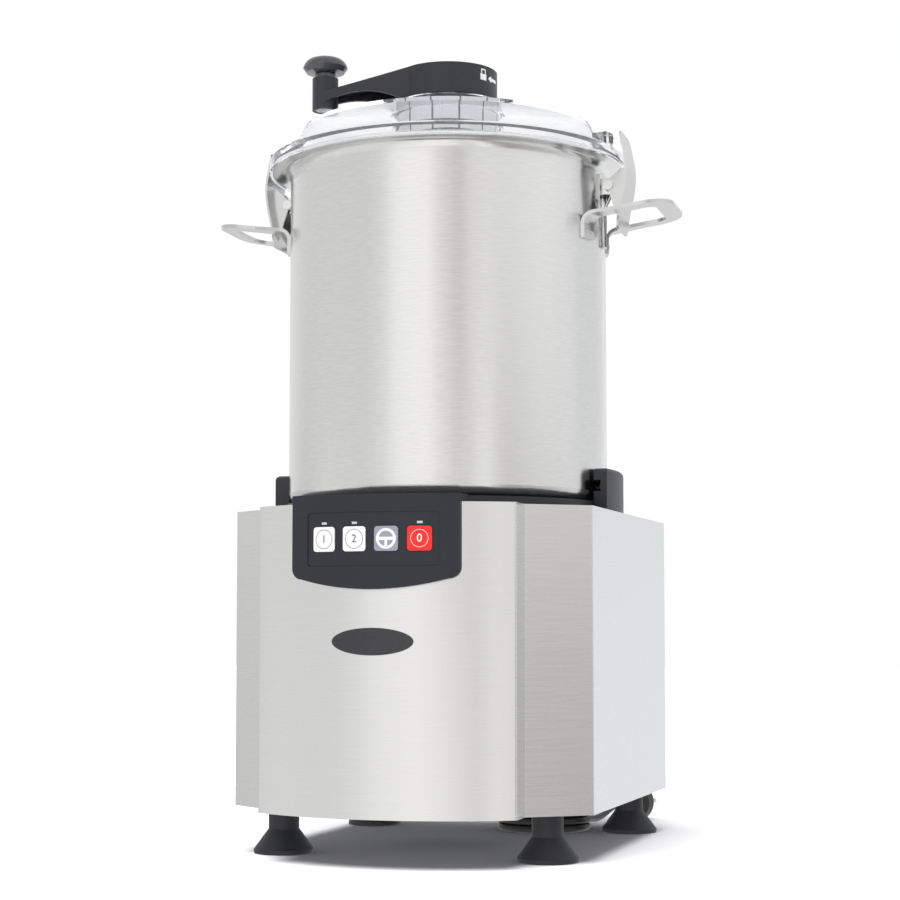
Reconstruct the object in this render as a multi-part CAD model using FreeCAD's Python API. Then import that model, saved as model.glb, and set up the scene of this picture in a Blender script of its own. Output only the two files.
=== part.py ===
"""Food cutter mixer: a stainless base with its motor, a bowl with blades, a clear lid and a crank."""
import FreeCAD, Part
import math
import os
from FreeCAD import Vector

# Driving dimensions, in millimetres and degrees.
# Plan sizes are taken about the bowl's axis: x to the right, y to the back.

# Standing unit
foot_height = 39.5
casing_height = 248.5
sheet = 1.2
bend_radius = 2.4
front_radius = 199.3
front_corner = 47.0
step_depth = 26.0
side_front = -105.3
side_back = 185.4
back_corner = 22.0
back_y = 205.0
top_flange = 6.0
bottom_flange = 11.0
back_flange = 22.0
louvre_pitch_x = 58.0
louvre_half = 42.0
louvre_first = 78.5
louvre_pitch_z = 24.0
louvre_rise = 9.0
louvre_depth = 3.0
louvre_rows = 6
slot_pitch = 14.0
slot_half = 3.0
slot_reach = 45.0

# Deck
deck_thickness = 4.5
deck_lip = 0.8
deck_margin = 1.6
deck_boss = 7.0
seat_step = 1.6
seat_width = 10.6
seat_height = 8.7
collar_radius = 20.0
collar_height = 64.0
collar_foot = 14.0
collar_flare = 3.0
collar_rise = 27.0
collar_gap = 2.5
seal_radius = 15.0
seal_height = 9.0
seal_lip = 2.0

# Feet
foot_radius = 25.3
foot_neck = 12.9
foot_rim = 4.6
foot_cone = 20.4
foot_edge = 0.8
foot_screw = 3.0
foot_sink = 7.0
foot_sink_depth = 8.0
foot_front_in = 41.0
foot_back_in = 30.5
foot_front_y = -95.8
foot_back_y = 162.0

# Bowl
bowl_radius = 140.0
bowl_height = 296.5
bowl_wall = 1.5
bowl_floor = 2.0
bowl_corner = 9.0
bowl_flange = 16.0
flange_bend = 7.0
tube_radius = 25.0
tube_height = 77.0

# Bayonet
lock_pin = 4.5
lock_pin_length = 8.2
lock_pin_rise = 12.7
post_gap = 2.2
post_wall = 5.8
post_angle = 12.0
post_stop_angle = 1.95
post_height = 36.5
post_round = 4.0
post_screw_depth = 9.0
post_screw_angle = 8.0

# Handles
side_angle = 1.5
handle_reach = 206.5
handle_half = 45.5
handle_drop = 41.3
handle_slope = 8.5
handle_sheet = 3.0
handle_width = 14.0
handle_tab = 12.4
handle_tab_width = 17.0
handle_tab_end = 26.0
handle_bend = 8.0
handle_corner = 24.0

# Clips
clip_pivot_out = 8.0
clip_pivot_drop = 21.5
clip_pin = 2.5
clip_width = 44.0
clip_sheet = 1.8
clip_over = 6.0
clip_tail = 40.0
clip_belly = 7.5
clip_belly_rise = 14.0
clip_shoulder = 5.3
clip_waist = 3.9
clip_foot = 0.2
clip_corner = 6.0
cheek_space = 10.5
cheek_round = 4.5
ear_half = 8.5
ear_rise = 7.0
bracket_plate = 2.0
bracket_half = 15.0
bracket_drop = 12.0
bracket_rise = 10.0
rivet_head = 1.6
rivet_height = 1.4
spring_wire = 1.5
spring_turns = 4
spring_leg = 52.0
spring_knee = 22.0

# Lid
lid_overhang = 2.5
lid_rim_height = 9.0
lid_wall = 3.0
lid_skirt = 2.2
lid_skirt_drop = 2.5
lid_side_out = 1.0
lid_side_lean = 12.0
lid_side_height = 27.5
lid_shelf_rise = 16.0
lid_turret_radius = 49.0
lid_turret_height = 9.6
lid_bore_gap = 3.0
lug_angle = 15.5
lug_width = 13.5
lug_height = 9.5
lug_root = 3.0
gasket_inset = 2.0
gasket_margin = 3.0
gasket_height = 1.6
gasket_sunk = 1.0
magnet_radius = 3.0
magnet_turn = -9.0
magnet_height = 6.0
magnet_sunk = 0.4
screw_sunk = 1.6
boss_radius = 45.3
boss_skin = 2.4
boss_height = 20.6
boss_core = 13.0
boss_core_height = 46.6
boss_ribs = 12
boss_rib = 1.8
boss_post = 5.0
boss_screw_length = 9.0
boss_screw_circle = 30.0

# Crank
crank_angle = 197.5
crank_radius = 110.0
crank_gap = 1.6
hub_radius = 44.0
hub_height = 26.8
hub_wall = 3.0
hub_rib = 2.4
crank_hub_side = 34.0
crank_sleeve = 12.0
arm_middle = 72.0
arm_dip = 9.0
arm_fall = 17.5
arm_depth = 10.5
end_boss = 11.6
end_boss_drop = 4.0
end_boss_height = 29.0
boss_floor = 7.0
knob_radius = 20.0
knob_neck = 9.4
knob_height = 19.5
knob_edge = 10.0
knob_crown = 5.0
knob_axle = 4.0

# Scraper
scraper_shaft = 7.0
scraper_bar = 9.0
scraper_hub_rise = 4.0
scraper_gap = 3.0
scraper_leg = 3.5
scraper_leg_width = 16.0
wiper_depth = 5.6
wiper_width = 4.0
wiper_gap = 0.4
wiper_lift = 7.0
leg_lift = 6.0

# Cutter
shaft_radius = 10.0
shaft_edge = 1.0
stub_radius = 6.0
stub_height = 12.0
sleeve_gap = 1.3
roof_gap = 3.0
roof_height = 17.0
cutter_gap = 4.0
cutter_sleeve = 32.0
cutter_chamfer = 4.0
cutter_foot = 43.0
cutter_foot_height = 4.0
blade_sheet = 3.0
blade_gap = 30.0
blade_bevel = 2.0
blade_end_gap = 4.0
blade_root = 2.0
spacer_radius = 41.0
spacer_height = 12.0
nut_radius = 19.0
nut_height = 17.0
nut_flat = 8.0
nut_shoulder = 3.0
nut_dome = 9.0
nut_crown = 4.0

# Motor
motor_plate_sheet = 5.0
motor_plate_drop = 14.0
motor_plate_inset = 16.0
motor_plate_bore = 30.0
bell_height = 19.0
bell_radius = 82.0
bell_flange = 7.0
bell_thread = 6.0
bell_floor = 4.0
bell_screw_circle = 74.0
housing_radius = 66.0
housing_wall = 4.0
housing_clear = 42.1
fin_count = 20
fin_height = 8.0
fin_width = 2.4
fin_end = 6.0
stator_inner = 38.0
stator_step = 3.0
rotor_radius = 37.4
core_drop = 36.0
core_lift = 34.0
winding_reach = 18.0
bearing_outer = 21.0
bearing_height = 13.0
bearing_race = 3.0
bearing_sunk = 1.0
fan_gap = 2.0
fan_radius = 52.0
fan_height = 14.0
fan_hub = 6.0
fan_sheet = 2.0
fan_blades = 8
pillar_radius = 7.0
pillar_thread = 14.0

# Control panel
panel_half = 70.5
panel_rise = 6.5
panel_height = 75.1
panel_bow = 8.1
panel_proud = 4.2
panel_back = 0.1
panel_corner = 9.0
panel_lip = 16.0
field_half = 55.4
field_drop = 14.3
field_height = 42.7
field_depth = 1.4
field_sheet = 0.8
button_width = 19.2
button_height = 19.6
button_pitch = 26.6
button_drop = 21.2
button_corner = 2.6
button_proud = 1.0
button_travel = 1.8
button_flange = 1.5
button_stop = 1.6
hole_depth = 12.0
lens_drop = 8.6
lens_width = 4.4
lens_height = 1.8
lens_proud = 0.2
board_depth = 31.3
board_sheet = 1.6
board_inset = 2.0
board_space = 4.0
board_peg = 3.0
board_peg_in = 8.0
peg_screw = 1.2
peg_screw_depth = 6.0
peg_inset = 6.0
chip_height = 8.0
key_switch = 8.0
key_switch_height = 3.0
plunger = 2.0
plunger_gap = 1.5
badge_half_x = 34.0
badge_half_z = 10.8
badge_drop = 41.1
badge_sheet = 0.9

# Electrical pieces
capacitor_x = -112.0
capacitor_y = -30.0
capacitor_radius = 20.0
capacitor_height = 80.0
capacitor_rim = 2.0
terminal_height = 10.0
switch_in = 22.0
switch_length = 20.0
switch_height = 8.5
switch_half = 10.0
switch_outlet = 3.0

# Fasteners and clearances
small_screw = 2.0
small_head = 3.8
small_head_height = 2.5
foot_head_height = 3.5
foot_screw_grip = 10.0
rear_screw_in = 10.0
rear_screw_end = 20.0
rear_screw_grip = 6.0
gap = 0.3
running = 0.05
fit_gap = 0.15

# Mains lead
cord_radius = 3.5
exit_x = 70.0
exit_height = 26.5
relief_radius = 8.0
relief_length = 30.0
relief_wall = 0.8
gland_bore = 9.0
gland_flange = 4.0
gland_rim = 4.0
gland_nut = 3.0
gland_nut_height = 6.0
gland_neck = 10.0
coil_x = 44.0
coil_y = 160.0
coil_radius = 45.0
coil_columns = 2
coil_layers = 3
plug_radius = 18.0
plug_length = 36.0
plug_x = 99.0
plug_y = 247.0
plug_turn = -14.0
plug_pin = 2.4
plug_pin_length = 19.0
plug_pin_half = 9.5

# What follows from the sizes above
TOP = Vector(0, 0, 1)
ORIGIN = Vector(0, 0, 0)
lock_pin_reach = bowl_radius + lock_pin_length
post_inner = bowl_radius + post_gap
post_wall_inner = lock_pin_reach + gap + fit_gap
post_outer = post_wall_inner + post_wall
post_screw_circle = (post_inner + post_wall_inner) / 2
base_half = post_outer + deck_margin
front_half = base_half - front_corner
back_half = base_half - back_corner
base_bottom = foot_height
base_top = base_bottom + casing_height
deck_bottom = base_top - deck_thickness
seat_outer = bowl_radius + seat_step
seat_top = base_top + seat_height
collar_top = base_top + collar_height
chord_y = -math.sqrt(front_radius ** 2 - front_half ** 2)
step_y = chord_y + step_depth
plate_bottom = base_bottom + sheet
plate_top = plate_bottom + sheet
bowl_bottom = seat_top + gap
bowl_top = bowl_bottom + bowl_height
bowl_inner = bowl_radius - bowl_wall
flange_radius = bowl_radius + bowl_flange
tube_top = bowl_bottom + tube_height
lock_pin_z = bowl_bottom + lock_pin_rise
post_top = base_top + post_height
handle_tip_z = bowl_top - handle_drop
lid_rim_radius = flange_radius + lid_overhang
lid_rim_top = bowl_top + lid_rim_height
lid_rim_bottom = bowl_top + gap + gasket_height - gasket_sunk
lid_side_foot = bowl_radius + lid_side_out
lid_side_top = lid_side_foot - lid_side_lean
lid_shelf_z = lid_rim_top + lid_side_height
lid_turret_foot = lid_shelf_z + lid_shelf_rise
lid_top = lid_turret_foot + lid_turret_height
lid_roof = lid_top - lid_wall
lug_inner = lid_rim_radius - lug_width
lug_top = lid_rim_top + lug_height
gasket_inner = bowl_radius + gasket_inset
gasket_outer = flange_radius - gasket_margin
magnet_circle = lid_rim_radius - 2 * magnet_radius
boss_bottom = lid_roof - boss_height
boss_core_bottom = lid_roof - boss_core_height
clip_pivot_r = bowl_radius + clip_pivot_out
clip_pivot_z = bowl_top - clip_pivot_drop
clip_top = lug_top + clip_over
clip_bottom = clip_pivot_z - clip_tail
cheek_top = bowl_top - lid_skirt_drop - cheek_round
cheek_bottom = clip_bottom + ear_rise
hub_bottom = lid_top + crank_gap
hub_top = hub_bottom + hub_height
arm_top_middle = hub_top - arm_dip
arm_top_end = hub_top - arm_fall
end_boss_top = hub_top - end_boss_drop
end_boss_bottom = end_boss_top - end_boss_height
knob_top = end_boss_top + knob_height
scraper_bar_z = boss_core_bottom - scraper_gap - scraper_hub_rise - scraper_bar
wiper_reach = bowl_inner - wiper_gap
scraper_outer = wiper_reach - wiper_depth
scraper_leg_inner = scraper_outer - scraper_leg
wiper_bottom = bowl_bottom + bowl_floor + wiper_lift
cutter_bottom = bowl_bottom + bowl_floor + cutter_gap
cutter_roof = tube_top + roof_gap
cutter_top = cutter_roof + roof_height
stub_top = cutter_top + stub_height
blade_reach = scraper_leg_inner - blade_end_gap
low_blade = cutter_bottom + cutter_foot_height
high_blade = low_blade + blade_sheet + blade_gap
motor_plate_top = base_top - motor_plate_drop
motor_plate_bottom = motor_plate_top - motor_plate_sheet
housing_top = motor_plate_bottom - bell_height
housing_bottom = plate_top + housing_clear
core_top = housing_top - core_drop
core_bottom = housing_bottom + core_lift
upper_bearing_z = motor_plate_bottom - bearing_height - bearing_sunk
lower_bearing_z = housing_bottom - bearing_height - bearing_sunk
bell_bottom = lower_bearing_z - bell_floor
shaft_bottom = bell_bottom - fan_gap - fan_height
panel_top = base_top + panel_rise
panel_bottom = panel_top - panel_height
panel_side_bottom = panel_bottom + panel_bow
panel_face = front_radius + panel_proud
field_floor = panel_face - field_depth
field_face = field_floor + field_sheet
field_top = panel_top - field_drop
field_bottom = field_top - field_height
button_z = field_top - button_drop
lens_z = field_top - lens_drop
badge_z = panel_bottom - badge_drop
board_front = board_depth - front_radius
board_back = board_front + board_sheet + chip_height
button_back = board_front - key_switch_height - gap - button_travel - plunger_gap
exit_z = base_bottom + exit_height
foot_front_x = base_half - foot_front_in
foot_back_x = base_half - foot_back_in
foot_places = [
    (foot_front_x, foot_front_y),
    (-foot_front_x, foot_front_y),
    (foot_back_x, foot_back_y),
    (-foot_back_x, foot_back_y),
]
button_places = [step * button_pitch for step in (-1.5, -0.5, 0.5, 1.5)]
lens_places = [button_places[0], button_places[1], button_places[3]]
board_peg_places = [(x, z) for x in (board_peg_in - field_half, field_half - board_peg_in)
                    for z in (field_bottom + peg_inset, field_top - peg_inset)]
rear_screw_places = [(x, z) for x in (rear_screw_in - back_half, back_half - rear_screw_in)
                     for z in (base_bottom + rear_screw_end, (base_bottom + base_top) / 2,
                               base_top - rear_screw_end)]
back_reach = back_y + sheet + louvre_depth
bowl_y = (panel_face - back_reach) / 2


def polar(radius, angle):
    """The x and y of a point at a radius and an angle."""
    turn_by = math.radians(angle)
    return radius * math.cos(turn_by), radius * math.sin(turn_by)


bell_screw_places = [polar(bell_screw_circle, 45 + 90 * step) for step in range(4)]
boss_screw_places = [polar(boss_screw_circle, 15 + 120 * step) for step in range(3)]
post_screw_places = [polar(post_screw_circle, side + turn_by) for side in (0, 180)
                     for turn_by in (-post_screw_angle, post_screw_angle)]
magnet_x, magnet_y = polar(magnet_circle, side_angle + magnet_turn)
relief_end = back_y + sheet + gland_flange + relief_length
lead_x, lead_y = polar(0.8 * plug_radius, 90 + plug_turn)
cord_points = [
    (exit_x, relief_end, exit_z),
    (exit_x, relief_end + 20, exit_z),
    (exit_x - 4, relief_end + 43, exit_z - 9),
    (exit_x - 15, relief_end + 63, exit_z - 22),
    (exit_x - 33, relief_end + 76, exit_z - 36),
    (exit_x - 53, relief_end + 78, exit_z - 50),
    (exit_x - 75, relief_end + 66, cord_radius + 4),
    (exit_x - 85, relief_end + 43, cord_radius + 0.7),
    (exit_x - 86, relief_end + 17, cord_radius),
    (coil_x - 54, relief_end - 11, cord_radius),
    (coil_x - 46, relief_end - 39, cord_radius),
    (coil_x - 41.5, relief_end - 67, cord_radius),
]
plug_points = [
    (coil_x + 41.5, coil_y + 8, 3 * cord_radius),
    (coil_x + 42.5, coil_y + 26, 2.5 * cord_radius),
    (coil_x + 44.5, coil_y + 44, 2.7 * cord_radius),
    (coil_x + 48, coil_y + 59, 4 * cord_radius),
    (plug_x - lead_x, plug_y - lead_y, plug_radius),
    (plug_x, plug_y, plug_radius),
]


def block(x0, x1, y0, y1, z0, z1):
    """A box between two corners."""
    return Part.makeBox(x1 - x0, y1 - y0, z1 - z0, Vector(x0, y0, z0))


def disc(radius, low, high, x=0.0, y=0.0):
    """An upright cylinder."""
    return Part.makeCylinder(radius, high - low, Vector(x, y, low))


def ring(outer, inner, low, high, x=0.0, y=0.0):
    """An upright tube."""
    return disc(outer, low, high, x, y).cut(disc(inner, low - 1, high + 1, x, y))


def rod(radius, start, end):
    """A round bar between two points."""
    start = Vector(*start)
    run = Vector(*end) - start
    return Part.makeCylinder(radius, run.Length, start, run)


def wire(points):
    """A closed outline. A point with a third value True is passed by an arc."""
    edges = []
    count = len(points)
    step = 0
    while step < count:
        start = points[step][0]
        middle = points[(step + 1) % count]
        if middle[1]:
            end = points[(step + 2) % count][0]
            edges.append(Part.Arc(start, middle[0], end).toShape())
            step += 2
        else:
            edges.append(Part.LineSegment(start, middle[0]).toShape())
            step += 1
    return Part.Wire(edges)


def turned(*points):
    """A solid turned about the bowl's axis from radius and height pairs.

    A pair with a third value is the middle of an arc.
    """
    outline = [(Vector(p[0], 0, p[1]), len(p) > 2) for p in points]
    return Part.Face(wire(outline)).revolve(ORIGIN, TOP, 360)


def plan(low, high, *points):
    """A flat plate from x and y pairs, arcs marked as in turned."""
    outline = [(Vector(p[0], p[1], low), len(p) > 2) for p in points]
    return Part.Face(wire(outline)).extrude(Vector(0, 0, high - low))


def side(half_width, *points):
    """A solid from x and z pairs, as wide to both sides of the x axis."""
    outline = [(Vector(p[0], -half_width, p[1]), len(p) > 2) for p in points]
    return Part.Face(wire(outline)).extrude(Vector(0, 2 * half_width, 0))


def front(y0, y1, *points):
    """A solid from x and z pairs, running along y."""
    outline = [(Vector(p[0], y0, p[1]), len(p) > 2) for p in points]
    return Part.Face(wire(outline)).extrude(Vector(0, y1 - y0, 0))


def turn(shape, angle):
    """A copy turned about the bowl's axis."""
    copy = shape.copy()
    copy.rotate(ORIGIN, TOP, angle)
    return copy


def moved(shape, x, y, z=0.0):
    """A copy moved from the axis to a place."""
    copy = shape.copy()
    copy.translate(Vector(x, y, z))
    return copy


def sector(outer, inner, low, high, start, end):
    """Part of an upright tube between two angles."""
    outline = Part.makePolygon([
        Vector(inner, 0, low), Vector(outer, 0, low), Vector(outer, 0, high),
        Vector(inner, 0, high), Vector(inner, 0, low),
    ])
    return turn(Part.Face(outline).revolve(ORIGIN, TOP, end - start), start)


def joined(first, *others):
    """One clean solid from several that touch or overlap."""
    return first.fuse(list(others)).removeSplitter()


def bulge(radius):
    """How far the middle of a round corner lies from its square corner."""
    return radius * (1 - math.sqrt(0.5))


def rounded_box(x0, x1, z0, z1, corner, y0, y1):
    """A block along y with four rounded corners."""
    cut = bulge(corner)
    return front(
        y0, y1,
        (x0 + corner, z0), (x1 - corner, z0), (x1 - cut, z0 + cut, True),
        (x1, z0 + corner), (x1, z1 - corner), (x1 - cut, z1 - cut, True),
        (x1 - corner, z1), (x0 + corner, z1), (x0 + cut, z1 - cut, True),
        (x0, z1 - corner), (x0, z0 + corner), (x0 + cut, z0 + cut, True),
    )


def save(name, *shapes):
    """Write one node, moved to the middle of the unit's box."""
    node = shapes[0] if len(shapes) == 1 else Part.makeCompound(shapes)
    node = moved(node, 0, bowl_y)
    assert node.isValid(), name
    node.exportStep("parts/" + name + ".step")


def is_upright(edge):
    """Whether an edge runs straight up."""
    low, high = edge.Vertexes[0].Point, edge.Vertexes[-1].Point
    return abs(low.x - high.x) < 1e-6 and abs(low.y - high.y) < 1e-6


def stands_at(edge, place):
    """Whether an upright edge stands at a place or at its mirror image."""
    point = edge.Vertexes[0].Point
    return abs(point.y - place.y) < 1e-3 and abs(abs(point.x) - place.x) < 1e-3


def base_plan(inset, low, high, bent=False):
    """The unit's plan as a solid, a given distance inside its outer faces.

    The bowed front is concentric with the bowl. Steps lead back from it to
    slanted corner panels, which run into the side walls.
    """
    arc_radius = front_radius - inset
    half = front_half - inset
    wide = base_half - inset
    front_slope = (side_front - step_y) / (base_half - front_half)
    front_shift = inset * math.sqrt(1 + front_slope ** 2)
    step_end = step_y + front_slope * (half - front_half) + front_shift
    side_start = step_y + front_slope * (wide - front_half) + front_shift
    back_slope = (back_y - side_back) / (back_half - base_half)
    back_shift = inset * math.sqrt(1 + back_slope ** 2)
    side_end = side_back + back_slope * (wide - base_half) - back_shift
    narrow = base_half + (back_y - inset + back_shift - side_back) / back_slope
    arc_y = -math.sqrt(arc_radius ** 2 - half ** 2)
    right = [(half, arc_y), (half, step_end), (wide, side_start), (wide, side_end)]
    right.append((narrow, back_y - inset))
    left = [(-x, y) for x, y in reversed(right)]
    solid = plan(low, high, *right, *left, (0, -arc_radius, True))
    if not bent:
        return solid
    hollow = Vector(half, step_end, 0)
    outer = [edge for edge in solid.Edges if is_upright(edge) and not stands_at(edge, hollow)]
    solid = solid.makeFillet(bend_radius - inset, outer)
    inner = [edge for edge in solid.Edges if is_upright(edge) and stands_at(edge, hollow)]
    return solid.makeFillet(bend_radius - sheet + inset, inner)


def wrap_cover():
    """Folded stainless sheet round the front and sides, open at the back."""
    wall = base_plan(0, base_bottom, base_top, True)
    wall = wall.cut(base_plan(sheet, base_bottom - 1, base_top + 1, True))
    top = base_plan(sheet / 2, base_top - sheet, base_top)
    top = top.cut(base_plan(top_flange, base_top - sheet - 1, base_top + 1))
    foot = base_plan(sheet / 2, base_bottom, base_bottom + sheet)
    foot = foot.cut(base_plan(bottom_flange, base_bottom - 1, base_bottom + sheet + 1))
    cover = joined(wall, top, foot)
    mouth = back_half - back_flange
    cover = cover.cut(block(-mouth, mouth, back_y - bottom_flange - 1, back_y + 1,
                            base_bottom - 1, base_top + 1))
    window = field_half - button_corner
    cover = cover.cut(block(-window, window, -front_radius - 1, board_front,
                            field_bottom + button_corner, field_top - button_corner))
    for x, z in rear_screw_places:
        cover = cover.cut(rod(small_screw, (x, back_y - bottom_flange, z), (x, back_y + 1, z)))
    return cover


def rear_panel():
    """Flat back plate with two columns of pressed louvres."""
    panel = block(-back_half, back_half, back_y, back_y + sheet, base_bottom, base_top)
    outer = back_y + sheet
    for column in (-1, 1):
        for row in range(louvre_rows):
            middle = column * louvre_pitch_x
            low = base_bottom + louvre_first + row * louvre_pitch_z
            hood = Part.Face(Part.makePolygon([
                Vector(middle - louvre_half, outer, low),
                Vector(middle - louvre_half, outer, low + louvre_rise),
                Vector(middle - louvre_half, outer + louvre_depth, low),
                Vector(middle - louvre_half, outer, low),
            ])).extrude(Vector(2 * louvre_half, 0, 0))
            throat = Part.Face(Part.makePolygon([
                Vector(middle - louvre_half + sheet, back_y - 1, low - 1),
                Vector(middle - louvre_half + sheet, back_y - 1, low + louvre_rise - 2),
                Vector(middle - louvre_half + sheet, outer + louvre_depth - sheet, low - 1),
                Vector(middle - louvre_half + sheet, back_y - 1, low - 1),
            ])).extrude(Vector(2 * (louvre_half - sheet), 0, 0))
            panel = panel.fuse(hood).cut(throat)
    panel = panel.cut(rod(gland_bore, (exit_x, back_y - 1, exit_z), (exit_x, outer + 1, exit_z)))
    for x, z in rear_screw_places:
        panel = panel.cut(rod(small_screw, (x, back_y - 1, z), (x, outer + 1, z)))
    return panel.removeSplitter()


def deck():
    """Black moulded top, flush in the cover's flange: seat, shaft collar and four bosses."""
    lip = base_plan(sheet + deck_lip, deck_bottom, base_top - sheet - gap)
    plate = base_plan(top_flange + gap, deck_bottom, base_top)
    seat = ring(seat_outer, seat_outer - seat_width, base_top, seat_top)
    flare = collar_radius + collar_foot
    collar = turned(
        (shaft_radius + collar_gap, deck_bottom), (flare, deck_bottom), (flare, base_top),
        (collar_radius + collar_flare, seat_top), (collar_radius, base_top + collar_rise),
        (collar_radius, collar_top), (seal_radius, collar_top),
        (seal_radius, collar_top - seal_height),
        (shaft_radius + collar_gap, collar_top - seal_height),
    )
    bosses = [disc(deck_boss, motor_plate_top, base_top, x, y) for x, y in foot_places]
    whole = joined(plate, lip, seat, collar, *bosses)
    whole = whole.cut(disc(shaft_radius + collar_gap, deck_bottom - 1, collar_top))
    for x, y in foot_places:
        whole = whole.cut(disc(foot_screw, motor_plate_top - 1, base_top - 2, x, y))
    for x, y in post_screw_places:
        whole = whole.cut(disc(small_screw, deck_bottom - 1, seat_top, x, y))
    return whole


def lock_post():
    """Right-hand bayonet post: a hook whose slot opens towards the front."""
    slot = lock_pin + gap
    wall = sector(post_outer, post_wall_inner, base_top, post_top, -post_angle, post_angle)
    low_jaw = sector(post_wall_inner, post_inner, base_top, lock_pin_z - slot,
                     -post_angle, post_angle)
    high_jaw = sector(post_wall_inner, post_inner, lock_pin_z + slot, post_top,
                      -post_angle, post_angle)
    stop = sector(post_wall_inner, post_inner, lock_pin_z - slot, lock_pin_z + slot,
                  post_stop_angle, post_angle)
    post = joined(wall, low_jaw, high_jaw, stop)
    envelope = turned(
        (post_inner, base_top), (post_outer, base_top), (post_outer, post_top - post_round),
        (post_outer - bulge(post_round), post_top - bulge(post_round), True),
        (post_outer - post_round, post_top), (post_inner, post_top),
    )
    half = post_outer * math.sin(math.radians(post_angle)) + 1
    end = 2 * post_round
    ends = Part.Face(wire([
        (Vector(0, -half, base_top), False), (Vector(0, half, base_top), False),
        (Vector(0, half, post_top - end), False),
        (Vector(0, half - bulge(end), post_top - bulge(end)), True),
        (Vector(0, half - end, post_top), False),
        (Vector(0, end - half, post_top), False),
        (Vector(0, bulge(end) - half, post_top - bulge(end)), True),
        (Vector(0, -half, post_top - end), False),
    ])).extrude(Vector(post_outer + 1, 0, 0))
    post = post.common(envelope).common(ends)
    for x, y in post_screw_places[:2]:
        post = post.cut(disc(small_screw, base_top - 1, base_top + post_screw_depth, x, y))
    return post


def screw(radius, head_radius, head, start, end):
    """A screw whose head lies outside the start point."""
    start, end = Vector(*start), Vector(*end)
    run = end - start
    shank = Part.makeCylinder(radius, run.Length, start, run)
    top = Part.makeCylinder(head_radius, head, start, run * -1)
    return shank.fuse(top).removeSplitter()


def bottom_plate():
    """Steel plate with cooling slots that lies on the cover's bottom flange."""
    plate = base_plan(sheet + fit_gap, plate_bottom, plate_top)
    for step in range(-3, 4):
        x = step * slot_pitch
        plate = plate.cut(block(x - slot_half, x + slot_half, -slot_reach, slot_reach,
                                plate_bottom - 1, plate_top + 1))
    for x, y in foot_places:
        plate = plate.cut(disc(foot_screw, plate_bottom - 1, plate_top + 1, x, y))
    return plate


def foot():
    """Conical rubber foot with a sunk screw hole."""
    return turned(
        (foot_screw, plate_bottom), (foot_neck, plate_bottom), (foot_neck, foot_cone),
        (foot_radius - foot_edge, foot_rim), (foot_radius, foot_rim - foot_edge),
        (foot_radius, foot_edge), (foot_radius - foot_edge, 0), (foot_sink, 0),
        (foot_sink, foot_sink_depth), (foot_screw, foot_sink_depth),
    )


def pillar():
    """Steel pillar that carries the motor plate, threaded at both ends."""
    bar = disc(pillar_radius, plate_top, motor_plate_bottom)
    low = disc(foot_screw, plate_top - 1, plate_top + pillar_thread)
    high = disc(foot_screw, motor_plate_bottom - pillar_thread, motor_plate_bottom + 1)
    return bar.cut(low).cut(high)


def motor_plate():
    """Steel plate that the motor hangs from."""
    plate = base_plan(motor_plate_inset, motor_plate_bottom, motor_plate_top)
    plate = plate.cut(disc(motor_plate_bore, motor_plate_bottom - 1, motor_plate_top + 1))
    notch = field_half + board_space
    plate = plate.cut(block(-notch, notch, -front_radius, board_back + board_space,
                            motor_plate_bottom - 1, motor_plate_top + 1))
    for x, y in foot_places:
        plate = plate.cut(disc(foot_screw, motor_plate_bottom - 1, motor_plate_top + 1, x, y))
    for x, y in bell_screw_places:
        plate = plate.cut(disc(small_screw, motor_plate_bottom - 1, motor_plate_top + 1, x, y))
    return plate


def motor_housing():
    """Finned aluminium tube of the motor."""
    tube = ring(housing_radius, housing_radius - housing_wall, housing_bottom, housing_top)
    fins = []
    for step in range(fin_count):
        fin = block(housing_radius - 1, housing_radius + fin_height, -fin_width / 2,
                    fin_width / 2, housing_bottom + fin_end, housing_top - fin_end)
        fins.append(turn(fin, 360 / fin_count * (step + 0.5)))
    return joined(tube, *fins)


def stator():
    """Laminated core with its winding heads."""
    outer = housing_radius - housing_wall
    near, far = stator_inner + stator_step, outer - stator_step
    return turned(
        (stator_inner, core_bottom), (near, core_bottom),
        (near + stator_step / 2, core_bottom - winding_reach),
        (far - stator_step / 2, core_bottom - winding_reach),
        (far, core_bottom), (outer, core_bottom), (outer, core_top), (far, core_top),
        (far - stator_step / 2, core_top + winding_reach),
        (near + stator_step / 2, core_top + winding_reach),
        (near, core_top), (stator_inner, core_top),
    )


def upper_bell():
    """Cast end cap with the upper bearing, bolted under the motor plate."""
    bore = shaft_radius + collar_gap
    pocket = upper_bearing_z
    bell = turned(
        (bore, housing_top), (housing_radius, housing_top),
        (bell_radius, motor_plate_bottom - bell_flange), (bell_radius, motor_plate_bottom),
        (bearing_outer, motor_plate_bottom), (bearing_outer, pocket), (bore, pocket),
    )
    for x, y in bell_screw_places:
        bell = bell.cut(disc(small_screw, motor_plate_bottom - bell_thread,
                             motor_plate_bottom + 1, x, y))
    return bell


def lower_bell():
    """Cast end cap with the lower bearing."""
    bore = shaft_radius + collar_gap
    outer = housing_radius + bearing_race
    return turned(
        (bore, bell_bottom), (bearing_outer + fan_hub, bell_bottom),
        (outer, housing_bottom - fin_end), (outer, housing_bottom),
        (bearing_outer, housing_bottom), (bearing_outer, lower_bearing_z), (bore, lower_bearing_z),
    )


def bearing(low):
    """Sealed ball bearing as one ring with sunk shields."""
    high = low + bearing_height
    inner = shaft_radius + running
    near, far = inner + bearing_race, bearing_outer - bearing_race
    return turned(
        (inner, low), (near, low), (near, low + bearing_sunk), (far, low + bearing_sunk),
        (far, low), (bearing_outer, low), (bearing_outer, high), (far, high),
        (far, high - bearing_sunk), (near, high - bearing_sunk), (near, high), (inner, high),
    )


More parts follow.
